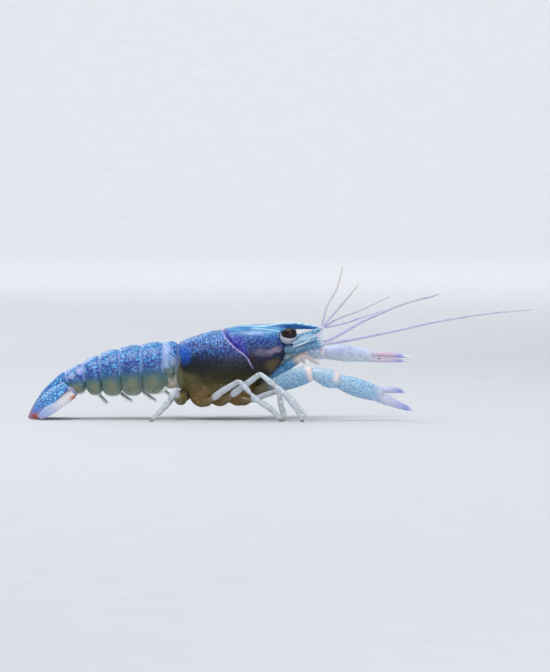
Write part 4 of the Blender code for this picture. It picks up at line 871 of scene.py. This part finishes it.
def shellRing(x, top, bottom, halfWidth, middle):
    ring = []
    for k in range(carapace["around"]):
        angle = 2 * math.pi * k / carapace["around"]
        c, s = math.cos(angle), math.sin(angle)
        z = middle + (top - middle if s > 0 else middle - bottom) * s
        ring.append((x + marginShift(x, z), halfWidth * bent(c, 0.92 if s > 0 else 0.72), z))
    return ring


def hollowRing(x, ceiling, halfWidth):
    arch = [(x, halfWidth * math.cos(a), ceiling - halfWidth * 0.4 * (1 - math.sin(a)))
            for a in np.linspace(0, math.pi, 21)]
    return [*arch, (x, -halfWidth, -4.0), (x, halfWidth, -4.0)]


carapace = {"around": 112, "voxel": 0.19, "grooveDepth": 0.34, "rimHeight": 0.1, "ridgeHeight": 0.3,
            "areolaDepth": 0.14, "hemDepth": 0.16, "meltRounds": 40, "grain": 0.95, "grainHeight": 0.07,
            "orbitGap": 0.3, "stalkGap": 0.25, "trough": ([0, 0.4, 0.72, 0.86, 1], [0.06, 0.24, 0.04, -0.06, 0.05])}
pieces = [loft("carapaceBody", [shellRing(*row) for row in smoothRows(carapaceRows, 6)])]
rostrumRings = []
for x, top, halfWidth, thick in smoothRows(rostrumRows, 6):
    across = np.linspace(-1, 1, 25)
    trough = 0.5 * thick * np.interp(np.abs(across), *carapace["trough"])
    upper = [(x, halfWidth * p, top - d) for p, d in zip(across, trough)]
    lower = [(x, halfWidth * p * 0.8, top - thick * (1 - 0.25 * p * p)) for p in across]
    rostrumRings.append(upper + lower[::-1])
pieces.append(loft("rostrum", rostrumRings))
browX, browZ, browY = np.array(rostrumRows).T[:3]
for x in rostrumTeeth:
    for side in sides.values():
        y = np.interp(x, browX, browY) * 0.9 * side
        z = np.interp(x, browX, browZ) - 0.3
        pieces.append(limb("tooth", [(x - 0.5, y * 0.95, z, 0.4, 0.4), (x + 0.3, y, z + 0.1, 0.34, 0.34),
                                     (x + 1.15, y * 0.99, z + 0.62, 0.1, 0.1)], 14, 4))
for side in sides.values():
    pieces += [ellipsoid("lobe", onSide(lobe, side), lobe[3], 32) for lobe in flankLobes]
hollow = loft("hollow", [hollowRing(*row) for row in smoothRows(hollowRows, 6)])
skin = fuse("carapace", pieces, carapace["voxel"])
carve(skin, hollow)
for side in sides.values():
    carve(skin, ellipsoid("orbit", onSide(eyeCentre, side), [r + carapace["orbitGap"] for r in eyeRadii]))
    carve(skin, ellipsoid("orbitFloor", onSide(stalkCentre, side), [r + carapace["stalkGap"] for r in stalkRadii]))
skin = fuse("carapace", [skin], carapace["voxel"])
x, y, z = pointsOf(skin).T
low = skin.vertex_groups.new(name="low")  # the lobes over the legs melt into the flank
for share in (0.25, 0.5, 0.75, 1.0):
    low.add(np.flatnonzero((z < 11.5 - 3 * share) & (x < -5.5 - share)).tolist(), share, "REPLACE")
modify(skin, "SMOOTH", vertex_group="low", factor=0.5, iterations=carapace["meltRounds"])
applied(skin)
skin.vertex_groups.clear()

points = pointsOf(skin)
x, y, z = points.T
grooveOff = alongPath(points * (1, 0, 1), [(grooveX, 0, grooveZ) for grooveX, grooveZ in grooveLine])[1]
lineX, lineZ = np.array(grooveLine)[::-1].T
signed = grooveOff * np.where(x > np.interp(z, lineZ, lineX), 1.0, -1.0)  # from the groove, forward counts up
upTo = fade(z, 12.4, 1.2)
relief = -carapace["grooveDepth"] * bell(signed, 0.12, 0.24) * (0.45 + 0.55 * upTo)
relief += carapace["rimHeight"] * bell(signed, -0.36, 0.22) * (0.3 + 0.7 * upTo)
eyeOff = np.full(len(points), 9.0)
ridgePale = np.zeros(len(points))
for side in sides.values():
    share, off = alongPath(points, [(-6.2, 3.0 * side, 22.7), (-3.0, 3.7 * side, 22.4), (0.2, 3.9 * side, 22.0)])
    relief += carapace["ridgeHeight"] * bell(off, 0, 0.4) * (0.5 + 0.5 * share)
    ridgePale = np.maximum(ridgePale, bell(off, 0, 0.42))
    off = alongPath(points, [(-15.2, 0.9 * side, 22.4), (-19.0, 0.75 * side, 21.4), (-24.0, 1.3 * side, 19.6)])[1]
    relief -= carapace["areolaDepth"] * bell(off, 0, 0.3)
    scaled = (points - onSide(eyeCentre, side)) / eyeRadii
    eyeOff = np.minimum(eyeOff, (np.linalg.norm(scaled, axis=1) - 1.15) * 1.6)
rearOff = x - marginShift(-24.7, z) + 24.9
relief -= carapace["hemDepth"] * bell(fade(rearOff, 0, 1.1), 0.8, 0.16)
relief += carapace["grainHeight"] * bumps(points, carapace["grain"]) * (fade(z, 7, 4) * fade(grooveOff, 0, 0.9))
raiseSkin(skin, relief)
# along the brow beside the rostrum a white highlight is painted at the top edge, going over into darker blue lower
# down
browHalf = np.interp(x, browX, browY)
onBrow = (x > -10) & (np.abs(y) < browHalf + 0.35) & (np.abs(y) > browHalf * 0.62)
browDrop = np.interp(x, browX, browZ) - z + 1.6 * fade(x, -3.5, -6)
store(skin, groove=np.where(x > 1.5, 3.0, signed), ridge=ridgePale, orbit=np.clip(eyeOff, 0, 1),
      pale=bell(signed, -0.24, 0.2) * upTo * (x < 0) * (0.45 + 0.55 * bumps(points, 0.8, 9.0)),
      # the band ahead of the groove: the shell's purple, deepened as painted shade beside the groove
      cheek=bell(signed, 0.55, 0.5) * fade(z, 15, 3) * (x < 0),
      brow=np.where(onBrow, np.clip(browDrop, 0, 2), 2.0), edge=bell(rearOff, 0, 0.45) * (z < 16),
      calm=(0.66 + 0.3 * fade(z, 20.7, 1.1)) * fade(signed, 0.2, 1.2))
place(skin, "carapace", ("head", "thorax"))
print("carapace done:", len(skin.data.polygons), "faces")

for word, side in sides.items():
    place(ellipsoid("eye", onSide(eyeCentre, side), eyeRadii, 56), "cornea", [f"eye_{word}"])
    place(ellipsoid("stalk", onSide(stalkCentre, side), stalkRadii, 40), "stalk", [f"eyestalk_{word}"])
print("eyes done")

# abdomen: six plates that overlap like roof tiles, with swimmerets below the second to the fifth
abdomen = {"facet": 0.14, "overlap": 0.42, "lobeRise": 1.7, "grain": 0.8, "grainHeight": 0.035, "lobeSwell": 0.24,
           "crease": 0.03, "sternumSag": 3.2, "lobeLap": 1.3, "curve": 0.94,
           "shares": [0, 0.03, 0.07, 0.1, 0.14, 0.17, 0.2, 0.24, 0.3, 0.38, 0.46, 0.54, 0.62, 0.7, 0.78, 0.85, 0.89,
                      0.93, 0.965, 0.985, 1.0]}


def mirrored(half):
    return [(-y, z) for y, z in half[::-1]]


def segmentRing(share, row, leans, sag, lap):
    xFront, topFront, xRear, topRear, halfWidth, lobe, belly, bellyHalf = row
    facet, front = abdomen["facet"], 1 - share
    x = xFront + (xRear - xFront) * share
    lift = np.interp(share, [0, 0.1, 0.17, 0.24, 0.85, 0.93, 1.0],
                     [-facet, -facet * 0.9, -facet * 0.3, 0.04, 0.03, 0.09, 0.0])
    top = topFront + (topRear - topFront) * share + 0.32 * math.sin(math.pi * share) + lift
    lean = leans[0] + (leans[1] - leans[0]) * share
    spread = halfWidth - 0.3 + 0.3 * math.sin(math.pi * share) + lift
    hinge, low = belly + 0.9, lobe + abdomen["lobeRise"] * abs(2 * share - 1) ** 3
    flank = [(-spread * (1.0 - 0.07 * (1 - drop)) + 0.12 * math.sin(math.pi * drop), low + (hinge - low) * drop)
             for drop in (k / 10 for k in range(10))]
    back = [(spread * math.cos(a), hinge + (top - hinge) * math.sin(a) ** abdomen["curve"])
            for a in (math.pi * (1 - k / 48) for k in range(49))]
    wall, floor = spread * 0.93 - 0.85, belly - sag
    under = [(wall + 0.4, low - 0.02), (wall, low + 0.2), (bellyHalf * 0.95, (low + belly - sag) / 2),
             (bellyHalf * 0.72, floor)]

    def along(z):
        shift = front * min(marginShift(-25.0, z), 0.0) if sag else 0.0
        return x + lean * (top - z) + shift + lap * front**3 * min(max((hinge + 1.0 - z) / 2.5, 0.0), 1.0)

    outline = [*flank, *back, *mirrored(flank), *under, (0.0, floor - 0.35), *mirrored(under)]
    return [(along(z), y, z) for y, z in outline]


for i, row in enumerate(abdomenRows):
    row = list(row)
    if i < 5:
        row[2] -= abdomen["overlap"]
    leans, sag, lap = seamLean[i : i + 2], abdomen["sternumSag"] * (i == 0), abdomen["lobeLap"] * (i == 1)
    plate = loft(f"plate{i + 1}", [segmentRing(share, row, leans, sag, lap) for share in abdomen["shares"]])
    modify(plate, "SUBSURF", levels=1, render_levels=1)
    applied(plate)
    points = pointsOf(plate)
    x, y, z = points.T
    top = (row[1] + row[3]) / 2
    share = fade(x - sum(leans) / 2 * (top - z), row[0], row[2] - row[0])
    low = row[5] + abdomen["lobeRise"] * np.abs(2 * share - 1) ** 3
    level = (z - row[5]) / (top - row[5])
    split = 0.42 if i else 0.3
    height = abdomen["grainHeight"] * bumps(points, abdomen["grain"], i * 3.3) * fade(share, 0.2, 0.125)
    height *= fade(share, 0.85, -0.125)
    swollen = np.sin(np.pi * np.clip(level / split, 0, 1))
    height += abdomen["lobeSwell"] * swollen * np.sin(np.pi * share) * (level > 0)
    height -= abdomen["crease"] * bell(level, split, 0.04)
    raiseSkin(plate, height)
    pale = (i > 0) * bell(share, 0, 0.09) + 0.8 * bell(share, 1, 0.05)
    if i == 0:
        pale = np.maximum(pale, 0.85 * fade(share, 0.4, 0.25))
        store(plate, soft=fade(z, 10.6, -1.2))
    store(plate, level=np.clip(level, 0, 1), seam=np.clip(pale, 0, 1) * fade(level, split, 0.08),
          warm=np.exp(-(((share - 0.5) / 0.22) ** 2) - ((level / split - 0.62) / 0.3) ** 2) * (i > 0),
          rim=np.where(level < split, fade(z, low, 1.6), 1.0))
    place(plate, "abdomen", [f"abdomen_{i + 1}"])

# pale membrane shows between the plates and in front of the first
coreRows = [(-23.4, 18.4, 11.9, 5.2)]
for row, lean in zip(abdomenRows, seamLean):
    middle = ((row[0] + row[2]) / 2, (row[1] + row[3]) / 2)
    for (x, top), inset in ((row[:2], 0.36), (middle, 0.7), (row[2:4], 0.5)):
        coreRows.append((x + lean * 4, top - inset, row[6] + 0.9, row[4] - 0.3 - inset))
coreRows.append((-54.0, 11.0, 9.4, 2.6))
rings = [[(x, half * math.cos(a),
           hinge + (top - hinge if a <= math.pi else 1.1) * bent(math.sin(a), abdomen["curve"]))
          for a in np.arange(64) * math.pi / 32] for x, top, hinge, half in coreRows]
place(loft("membrane", rings), "membrane")
webRows = smoothRows([(-23.6, 4.9), (-24.6, 5.15), (-25.4, 5.1), (-26.6, 4.8)], 4)
rings = [[(x, half * bent(math.cos(a), 0.7), 10.6 + 2.9 * math.sin(a)) for a in np.arange(48) * math.pi / 24]
         for x, half in webRows]
place(loft("web", rings), "membrane")

# swimmerets: a stem with two thin paddles, each edged with bristles
hairs = []
for number, (tipX, tipZ) in enumerate(swimmeretTips):
    row = abdomenRows[number + 1]
    x, belly = row[0] * 0.62 + row[2] * 0.38, row[6]
    kneeX, kneeZ = x + 0.5, belly - 1.9
    for side in sides.values():
        pieces = [limb("stem", [(x - 0.4, 2.6 * side, belly + 0.6, 0.6, 0.55),
                                (x, 2.9 * side, belly - 0.7, 0.5, 0.45),
                                (kneeX, 3.1 * side, kneeZ, 0.42, 0.4)], 16, 4)]
        for spread, share in ((-0.8, 0.9), (0.7, 1.0)):
            run, drop = (tipX - kneeX) * share, (tipZ - kneeZ) * share
            path = [(kneeX - 0.1, 3.05 * side, kneeZ + 0.3, 0.26, 0.26),
                    (kneeX + 0.5 * run, (3.05 + 0.6 * spread) * side, kneeZ + 0.55 * drop, 0.22, 0.24),
                    (kneeX + run, (3.05 + spread) * side, kneeZ + drop, 0.1, 0.1)]
            pieces.append(limb("paddle", path, 16, 5))
            for spot in smoothRows(path, 12)[8:]:
                for out in (-1, 1):
                    heading = (0.3 + 0.8 * out + rng.normal(0, 0.15), rng.normal(0, 0.2), -1.0)
                    hairs.append((spot[:3], heading, 0.75))
        place(fuse(f"swimmeret{number}", pieces, 0.09), "leg")
bristles("swimmeretHair", hairs, 0.025, 0.5, 3)
print("abdomen done")


# tail fan: a blade's plan is its root, its tip, half width, thickness and roll
def bladeFrame(plan, side):
    start, end = Vector(onSide(plan[0], side)), Vector(onSide(plan[1], side))
    along = (end - start).normalized()
    flat = (Vector((0, side, 0)) - along * along.dot(Vector((0, side, 0)))).normalized()
    down = along.cross(flat) * side
    down = down if down.z < 0 else -down
    angle = math.radians(plan[4])
    across = (flat * math.cos(angle) + down * math.sin(angle)).normalized()
    normal = along.cross(across).normalized()
    return start, end, along, across, normal if normal.z > 0 else -normal


def blade(name, plan, side, rootShare=0.55, ridges=(0.0,), suture=None, arch=0.28, bow=0.25, taper=0.0):
    start, end, along, across, normal = bladeFrame(plan, side)
    halfWidth, thick = plan[2], plan[3]
    shares = np.concatenate([np.linspace(0, 0.88, 45), 0.88 + 0.12 * np.sin(np.linspace(0.08, math.pi / 2, 12))])
    places = np.sin(np.linspace(-math.pi / 2, math.pi / 2, 49)) * 0.5 + np.linspace(-1, 1, 49) * 0.5
    rings, rims = [], []
    for s in shares:
        swell = rootShare + (1 - rootShare) * math.sin(min(s / 0.5, 1.0) * math.pi / 2)
        fall = math.sqrt(max(1 - max((s - 0.68) / 0.34, 0.0) ** 2, 0.0))
        width = halfWidth * swell * fall * (1 - taper * s)
        depth = thick * (1 - 0.45 * s)
        if suture:  # a hinge line across the blade
            depth *= 1 - 0.25 * math.exp(-(((s - suture) / 0.012) ** 2))
        centre = start.lerp(end, s) + normal * (bow * math.sin(math.pi * s))
        upper, lower = [], []
        for p in places:
            edge = 0.5 * depth * (1 - 0.55 * abs(p) ** 3) * (1 - abs(p) ** 14) + 0.02
            rib = 0.24 * max(math.exp(-(((p - r) / 0.075) ** 2)) for r in ridges) * (1 - s) ** 0.3
            fan = 0.035 * math.cos(p * 34) * min(max((s - 0.45) * 3, 0), 1) * (1 - abs(p) ** 6)
            base = centre + across * (width * p) + normal * (-arch * p * p)
            upper.append(base + normal * (edge + rib + fan))
            lower.append(base - normal * edge)
        rings.append(upper + lower[::-1])
        rims.append((s, centre + across * width - normal * arch, centre - across * width - normal * arch))
    return loft(name, rings), rims


tail = {
    "fringe": 0.85, "hairsPerMm": 9, "fringeFrom": 0.55, "hairClearance": 0.12,
    "telson": {"rootShare": 0.85, "ridges": (-0.45, 0.0, 0.45), "suture": 0.62, "arch": 1.2, "bow": 1.0},
    "inner": {"bow": 0.6},
    "outer": {"rootShare": 0.7, "suture": 0.64, "taper": 0.3},
}
fanBlades = [("telsonSkin", telsonPlan, 1, tail["telson"], "telson")]
for word, side in sides.items():
    fanBlades += [(f"innerBlade_{word}", innerBlade, side, tail["inner"], f"uropod_{word}_inner"),
                  (f"outerBlade_{word}", outerBlade, side, tail["outer"], f"uropod_{word}_outer")]
hairs = []
for name, plan, side, form, node in fanBlades:
    leaf, rims = blade(name, plan, side, **form)
    start, end, along, across, normal = bladeFrame(plan, side)
    points = pointsOf(leaf)
    outermost = name.startswith("outer")
    local = (points - np.array(start)) @ np.array(along) / (end - start).length
    wide = ((points - np.array(start)) @ np.array(across)) / plan[2]
    off = np.abs(wide)
    ridgeOff = np.min([np.abs(off - abs(r)) for r in form.get("ridges", (0.0,))], axis=0)
    emberAndGlint = fade(points[:, 0], -59.2, -1.0) * fade(points[:, 2], 2.0, -1.1) * (0.3 if name == "telsonSkin" else 1.0)
    if outermost:
        emberAndGlint = np.maximum(emberAndGlint, bell(local, 0.06, 0.09) * fade(off, 0.25, 0.4) * (points[:, 2] < 6.4))
    # on an outer blade rib falls to 0 at the upper edge, where dark blue is painted as shade against the inner blade
    store(leaf, rib=fade(wide, -1.0, 0.5) if outermost else fade(ridgeOff, 0, 0.3),
          outer=outermost * np.clip(1.35 - 0.95 * local, 0, 1), ember=emberAndGlint)
    points[:, 2] = np.maximum(points[:, 2], 0.0)  # what touches the floor lies flat on it
    movePoints(leaf, points)
    place(leaf, "tail", [node])
    fringed = [rim for rim in rims if rim[0] > tail["fringeFrom"]]
    for edge, way in ((1, 1), (2, -1)):
        for a, b in zip(fringed, fringed[1:]):
            for k in range(max(int((b[edge] - a[edge]).length * tail["hairsPerMm"]), 1)):
                root = a[edge].lerp(b[edge], rng.random())
                mix = min(max((a[0] - 0.6) / 0.36, 0), 1)
                lean = (across * way * (1 - mix) + along * (0.5 + mix)).normalized()
                root.z = max(root.z, tail["hairClearance"])
                heading = (lean.x + rng.normal(0, 0.06), lean.y + rng.normal(0, 0.06), max(lean.z, -0.05))
                hairs.append((root, heading, tail["fringe"] * (0.5 + 0.5 * mix)))
bristles("tailFringe", hairs, 0.028, 0.4, 5)
for word, side in sides.items():
    root = limb("tailRoot", [(*onSide(row, side), *row[3:]) for row in tailRoot])
    store(root, outer=1.0)
    place(root, "tail", [f"uropod_{word}_root"])
print("tail fan done")


# jointed limbs pinch in at each joint and swell on both sides of it
def jointed(rows, joints, steps=8, pinch=0.3, swell=0.14, reach=0.05):
    fine = smoothRows(rows, steps)
    run = np.concatenate([[0], np.cumsum(np.linalg.norm(np.diff(fine[:, :3], axis=0), axis=1))])
    run /= run[-1]
    factor = np.ones(len(run))
    for joint in joints:
        factor -= pinch * bell(run, joint, reach)
        factor += swell * bell(run - joint, 1.9 * reach, reach) + swell * bell(run - joint, -1.9 * reach, reach)
    fine[:, 3:5] *= factor[:, None]
    return fine


def endsOf(obj, path):
    share = alongPath(pointsOf(obj), path)[0]
    store(obj, ends=share)
    return share


# walking legs: bristles of this length, and none with its root below the hair floor
leg = {"skinHeight": 0.03, "skinGrain": 0.45, "voxel": 0.09, "hair": 0.42, "hairFloor": 0.35}
hairs = []
for word, plan in legs.items():
    upperRows = jointed(plan["upper"], (0.2, 0.45))
    upper = limb("legUpper", upperRows, 24, 1)
    share = endsOf(upper, upperRows)
    bare, run = (0.78, 0.2) if word.endswith("5") else (0.5, 0.1)  # where its olive-brown root ends
    store(upper, hip=fade(share, bare, -run), joint=bell(share, 0.99, 0.04))
    raiseSkin(upper, leg["skinHeight"] * bumps(pointsOf(upper), leg["skinGrain"]))
    place(upper, "leg", [f"leg_{word}_upper"])
    fullRows = [(*plan["upper"][-1][:3], *plan["lower"][0][3:]), *plan["lower"]]
    lowerRows = jointed(fullRows, (0.3,))
    pieces = [limb("legLower", lowerRows, 24, 1)]
    if "prong" in plan:
        pieces.append(limb("legProng", plan["prong"], 20, 6))
    lower = fuse("legLower", pieces, leg["voxel"])
    points = pointsOf(lower)
    points[:, 2] = np.maximum(points[:, 2], 0.0)
    movePoints(lower, points)
    share = endsOf(lower, fullRows)
    store(lower, joint=bell(share, 0.3, 0.03) + bell(share, 0.02, 0.04), claw=fade(points[:, 2], 0.9, -0.6))
    place(lower, "leg", [f"leg_{word}_lower"])
    for rows, start, stop, count in ((lowerRows, 0.55, 1.0, 60), (upperRows, 0.5, 0.95, 16)):
        for pick in rng.uniform(start, stop, count):
            at = pick * (len(rows) - 1)
            k = min(int(at), len(rows) - 2)
            row = rows[k] + (rows[k + 1] - rows[k]) * (at - k)
            along = Vector(rows[k + 1][:3] - rows[k][:3]).normalized()
            out = Vector(rng.normal(size=3))
            out = (out - along * out.dot(along)).normalized()
            root = Vector(row[:3]) + out * (min(row[3], row[4]) * 0.85)
            if root.z > leg["hairFloor"]:
                hairs.append((root, out + along * 1.3, leg["hair"]))
bristles("legHair", hairs, 0.02, 0.6, 9)
print("legs done")

# claws: a spine's rows are how far forward, which shares of the width inward and of the height up, half width;
# cream is where along a part the pale band lies, and its reach
claw = {
    "voxel": 0.12, "grain": 0.55, "grainHeight": 0.08, "rowGap": 0.62, "toothSize": (0.2, 0.16, 0.2),
    "spine": ((-0.2, 0.6, 0.5, 0.32), (0.15, 0.95, 0.75, 0.22), (0.55, 1.15, 0.95, 0.06)),
    "cream": {"merus": (0.99, 0.07), "carpus": (0.88, 0.12)},
}
for word, plan in {"right": clawRight, "left": clawLeft}.items():
    inward = -sides[word]
    for part in ("base", "merus", "carpus", "palm", "finger"):
        rows = plan[part]
        pieces = [limb(part, rows, 36, 6)]
        if part == "palm":
            pieces.append(limb("fixed", plan["fixed"], 30, 6))
        if part in ("palm", "finger"):
            up = 1 if part == "palm" else -1
            edge = smoothRows(plan["fixed" if part == "palm" else "finger"], 8)
            for x, y, z, tall, deep in edge[10 : len(edge) - 4 : 2]:
                pieces.append(ellipsoid("tooth", (x, y, z + up * tall * 0.86), claw["toothSize"], 10))
        if part in claw["cream"]:
            for x, y, z, tall, deep in smoothRows(rows, 4)[[5, 8, 10]]:
                pieces.append(limb("spine", [(x + run, y + inward * deep * out, z + tall * rise, half, half)
                                             for run, out, rise, half in claw["spine"]], 10, 3))
        piece = fuse(part, pieces, claw["voxel"])
        points = pointsOf(piece)
        x, z = points[:, 0], points[:, 2]
        share = endsOf(piece, [*rows, plan["fixed"][-1]] if part == "palm" else rows)
        start = plan["finger"][0][0] - 2.6
        stop = plan["fixed"][-1][0] - (1.9 if part == "finger" and word == "right" else 0.0)
        reach = fade(x, start, stop - start) * (part in ("palm", "finger"))
        blush = np.clip((reach - 0.12) * 3.5, 0, 1) * np.clip((0.84 - reach) * 5, 0, 1) * (word == "left")
        cream = bell(share, *claw["cream"][part]) if part in claw["cream"] else 0.0
        if part == "carpus":
            cream *= fade(z - np.interp(x, [row[0] for row in rows], [row[2] for row in rows]), -0.9, 0.8)
        store(piece, finger=reach, blush=blush * (0.45 if part == "palm" else 1.0), cream=cream,
              root=fade(x, -0.6, -2.4) * (part in ("base", "merus")))
        pattern = bumps(points, claw["grain"], 5.0)
        if part == "merus":  # its granules stand in slanting rows
            slant = x * 0.82 + z * 0.57
            pattern = 0.5 * pattern + 0.5 * (0.5 + 0.5 * np.cos(slant * 2 * math.pi / claw["rowGap"]))
            store(piece, merus=1 - pattern)
        quiet = np.clip((share - 0.04) * 14, 0, 1) * np.clip((0.93 - share) * 10, 0, 1)
        quiet *= 0.3 if part == "base" else 1
        raiseSkin(piece, claw["grainHeight"] * pattern * quiet * np.clip(1 - reach * 2.2, 0.15, 1))
        place(piece, "claw", [f"claw_{word}_{part}"])
    for before, after in (("base", "merus"), ("merus", "carpus"), ("carpus", "palm")):
        a, b = plan[before][-1], plan[after][0]
        size = min(a[3], b[3]) * 0.86
        start, end = Vector(a[:3]), Vector(b[:3])
        way = (end - start).normalized() * 0.5
        bridge = [(*at, size, size * 0.9) for at in (start - way, (start + end) / 2, end + way)]
        place(limb("membrane", bridge, 24, 4), "membrane")
print("claws done")

# feeler stalks, scales and mouthparts
keelRows = [(3.7, 5.75, 18.15, 0.16, 0.16), (6.0, 5.75, 18.95, 0.22, 0.2), (8.3, 5.1, 20.1, 0.06, 0.06)]
jawletRows = [(0.5, 1.0, 11.5, 0.6, 0.5), (2.6, 1.0, 13.1, 0.62, 0.52), (4.6, 1.0, 14.6, 0.58, 0.5),
              (5.9, 0.95, 14.7, 0.42, 0.4), (6.7, 0.9, 13.9, 0.25, 0.25)]
spikeRoots = [(9.3, 4.35, 20.6, 2.2, 0.9), (9.0, 4.3, 20.0, 2.5, 0.5), (9.4, 3.9, 19.4, 1.9, 0.35),
              (9.1, 4.4, 21.1, 1.9, 0.9)]  # x, y, z, how far forward and how far up the spike goes
hairs = []
for word, side in sides.items():
    def flip(rows):
        return [(*onSide(row, side), *row[3:]) for row in rows]

    stem = limb("antennaBase", jointed(flip(antennaBase), (0.36, 0.66, 0.86), 10, 0.12, 0.08, 0.03), 36, 1)
    store(stem, rib=1.0, cuff=bell(endsOf(stem, flip(antennaBase)), 0.97, 0.06))
    raiseSkin(stem, 0.06 * bumps(pointsOf(stem), 0.5, 2.0))
    place(stem, "peduncle", [f"antenna_{word}_base"])
    small = limb("antennuleBase", jointed(flip(antennuleBase), (0.33, 0.66), 10, 0.15, 0.08, 0.04), 28, 1)
    store(small, rib=1.0, cuff=bell(endsOf(small, flip(antennuleBase)), 0.98, 0.05))
    place(small, "peduncle", [f"antennule_{word}_base"])
    leaf, rims = blade("scale", antennaScale, side, 0.7)
    start, end, along, across, normal = bladeFrame(antennaScale, side)
    off = (pointsOf(leaf) - np.array(start)) @ np.array(across) / antennaScale[2]
    # pale lines along the scale's middle and outer margin, whitish and brightened as painted highlight
    store(leaf, rib=np.clip(np.minimum(np.abs(off - 0.05) * 1.2, np.abs(off + 0.8) * 1.6), 0, 1))
    place(leaf, "peduncle", [f"antenna_{word}_scale"])
    jawRows = jointed(flip(maxilliped), (0.45, 0.68, 0.86), 8, 0.15, 0.08, 0.03)
    jaw = limb("maxilliped", jawRows, 28, 1)
    endsOf(jaw, flip(maxilliped))
    raiseSkin(jaw, 0.04 * bumps(pointsOf(jaw), 0.4, 4.0))
    place(jaw, "mouthpart", [f"maxilliped_{word}"])
    keel = limb("scaleKeel", flip(keelRows), 14, 6)
    # the keel is painted pale all over: a whitish margin, brightened as painted highlight
    store(keel, rib=0.0)
    place(keel, "peduncle")
    spikes = []
    for x, y, z, run, lift in spikeRoots:
        spikes.append(limb("spike", flip([(x - 0.5, y, z - 0.2, 0.16, 0.16),
                                          (x + run * 0.5, y, z + lift * 0.45, 0.11, 0.11),
                                          (x + run, y - 0.1, z + lift, 0.05, 0.05)]), 10, 4))
    crown = fuse("scaleSpikes", spikes, 0.05, 1)
    store(crown, cuff=1.0, rib=1.0)
    place(crown, "peduncle")
    mandible = ellipsoid("mandible", (2.2, 1.25 * side, 15.6), (1.3, 1.15, 1.4), 40)
    store(mandible, ends=0.3)
    place(mandible, "mouthpart")
    jawlet = limb("secondJaw", jointed(flip(jawletRows), (0.5, 0.78), 8, 0.12, 0.06, 0.04), 24, 1)
    endsOf(jawlet, flip(jawletRows))
    place(jawlet, "mouthpart")
    for pick in rng.uniform(0.3, 1.0, 260):
        row = jawRows[min(int(pick * (len(jawRows) - 1)), len(jawRows) - 2)]
        inward = Vector((0.25, -side * 1.0, -0.5 + rng.normal(0, 0.35))).normalized()
        hairs.append((Vector(row[:3]) + inward * (row[3] * 0.8), inward + Vector((0.5, 0, 0.1)), 0.7))
    for pick in rng.uniform(0.3, 0.99, 120):
        hairs.append((rims[min(int(pick * len(rims)), len(rims) - 1)][2], (0.5, -side * 0.9, -0.1), 0.6))
bristles("mouthHair", hairs, 0.025, 0.6, 11)

whips = {"antenna_right_whip": antennaRight, "antenna_left_whip": antennaLeft,
         **{f"antennule_{key}": rows for key, rows in antennuleWhips.items()}}
# whips: ring length and step in millimetres, and ring depth as a share of the thickness
whip = {"ringLength": {"antenna": 0.42, "antennule": 0.3}, "ringDepth": 0.3, "step": 0.06}
for name, rows in whips.items():
    track = smoothRows(rows, 8)
    line = pointCloud(name + "Skin", track[:, :3], [(k, k + 1) for k in range(len(track) - 1)], width=track[:, 3])
    runTree(line, whipTree, {"Ring Length": whip["ringLength"][name.split("_")[0]], "Ring Depth": whip["ringDepth"],
                             "Step": whip["step"]}, "feeler")
    place(line, "feeler", [name])
print("feelers done")
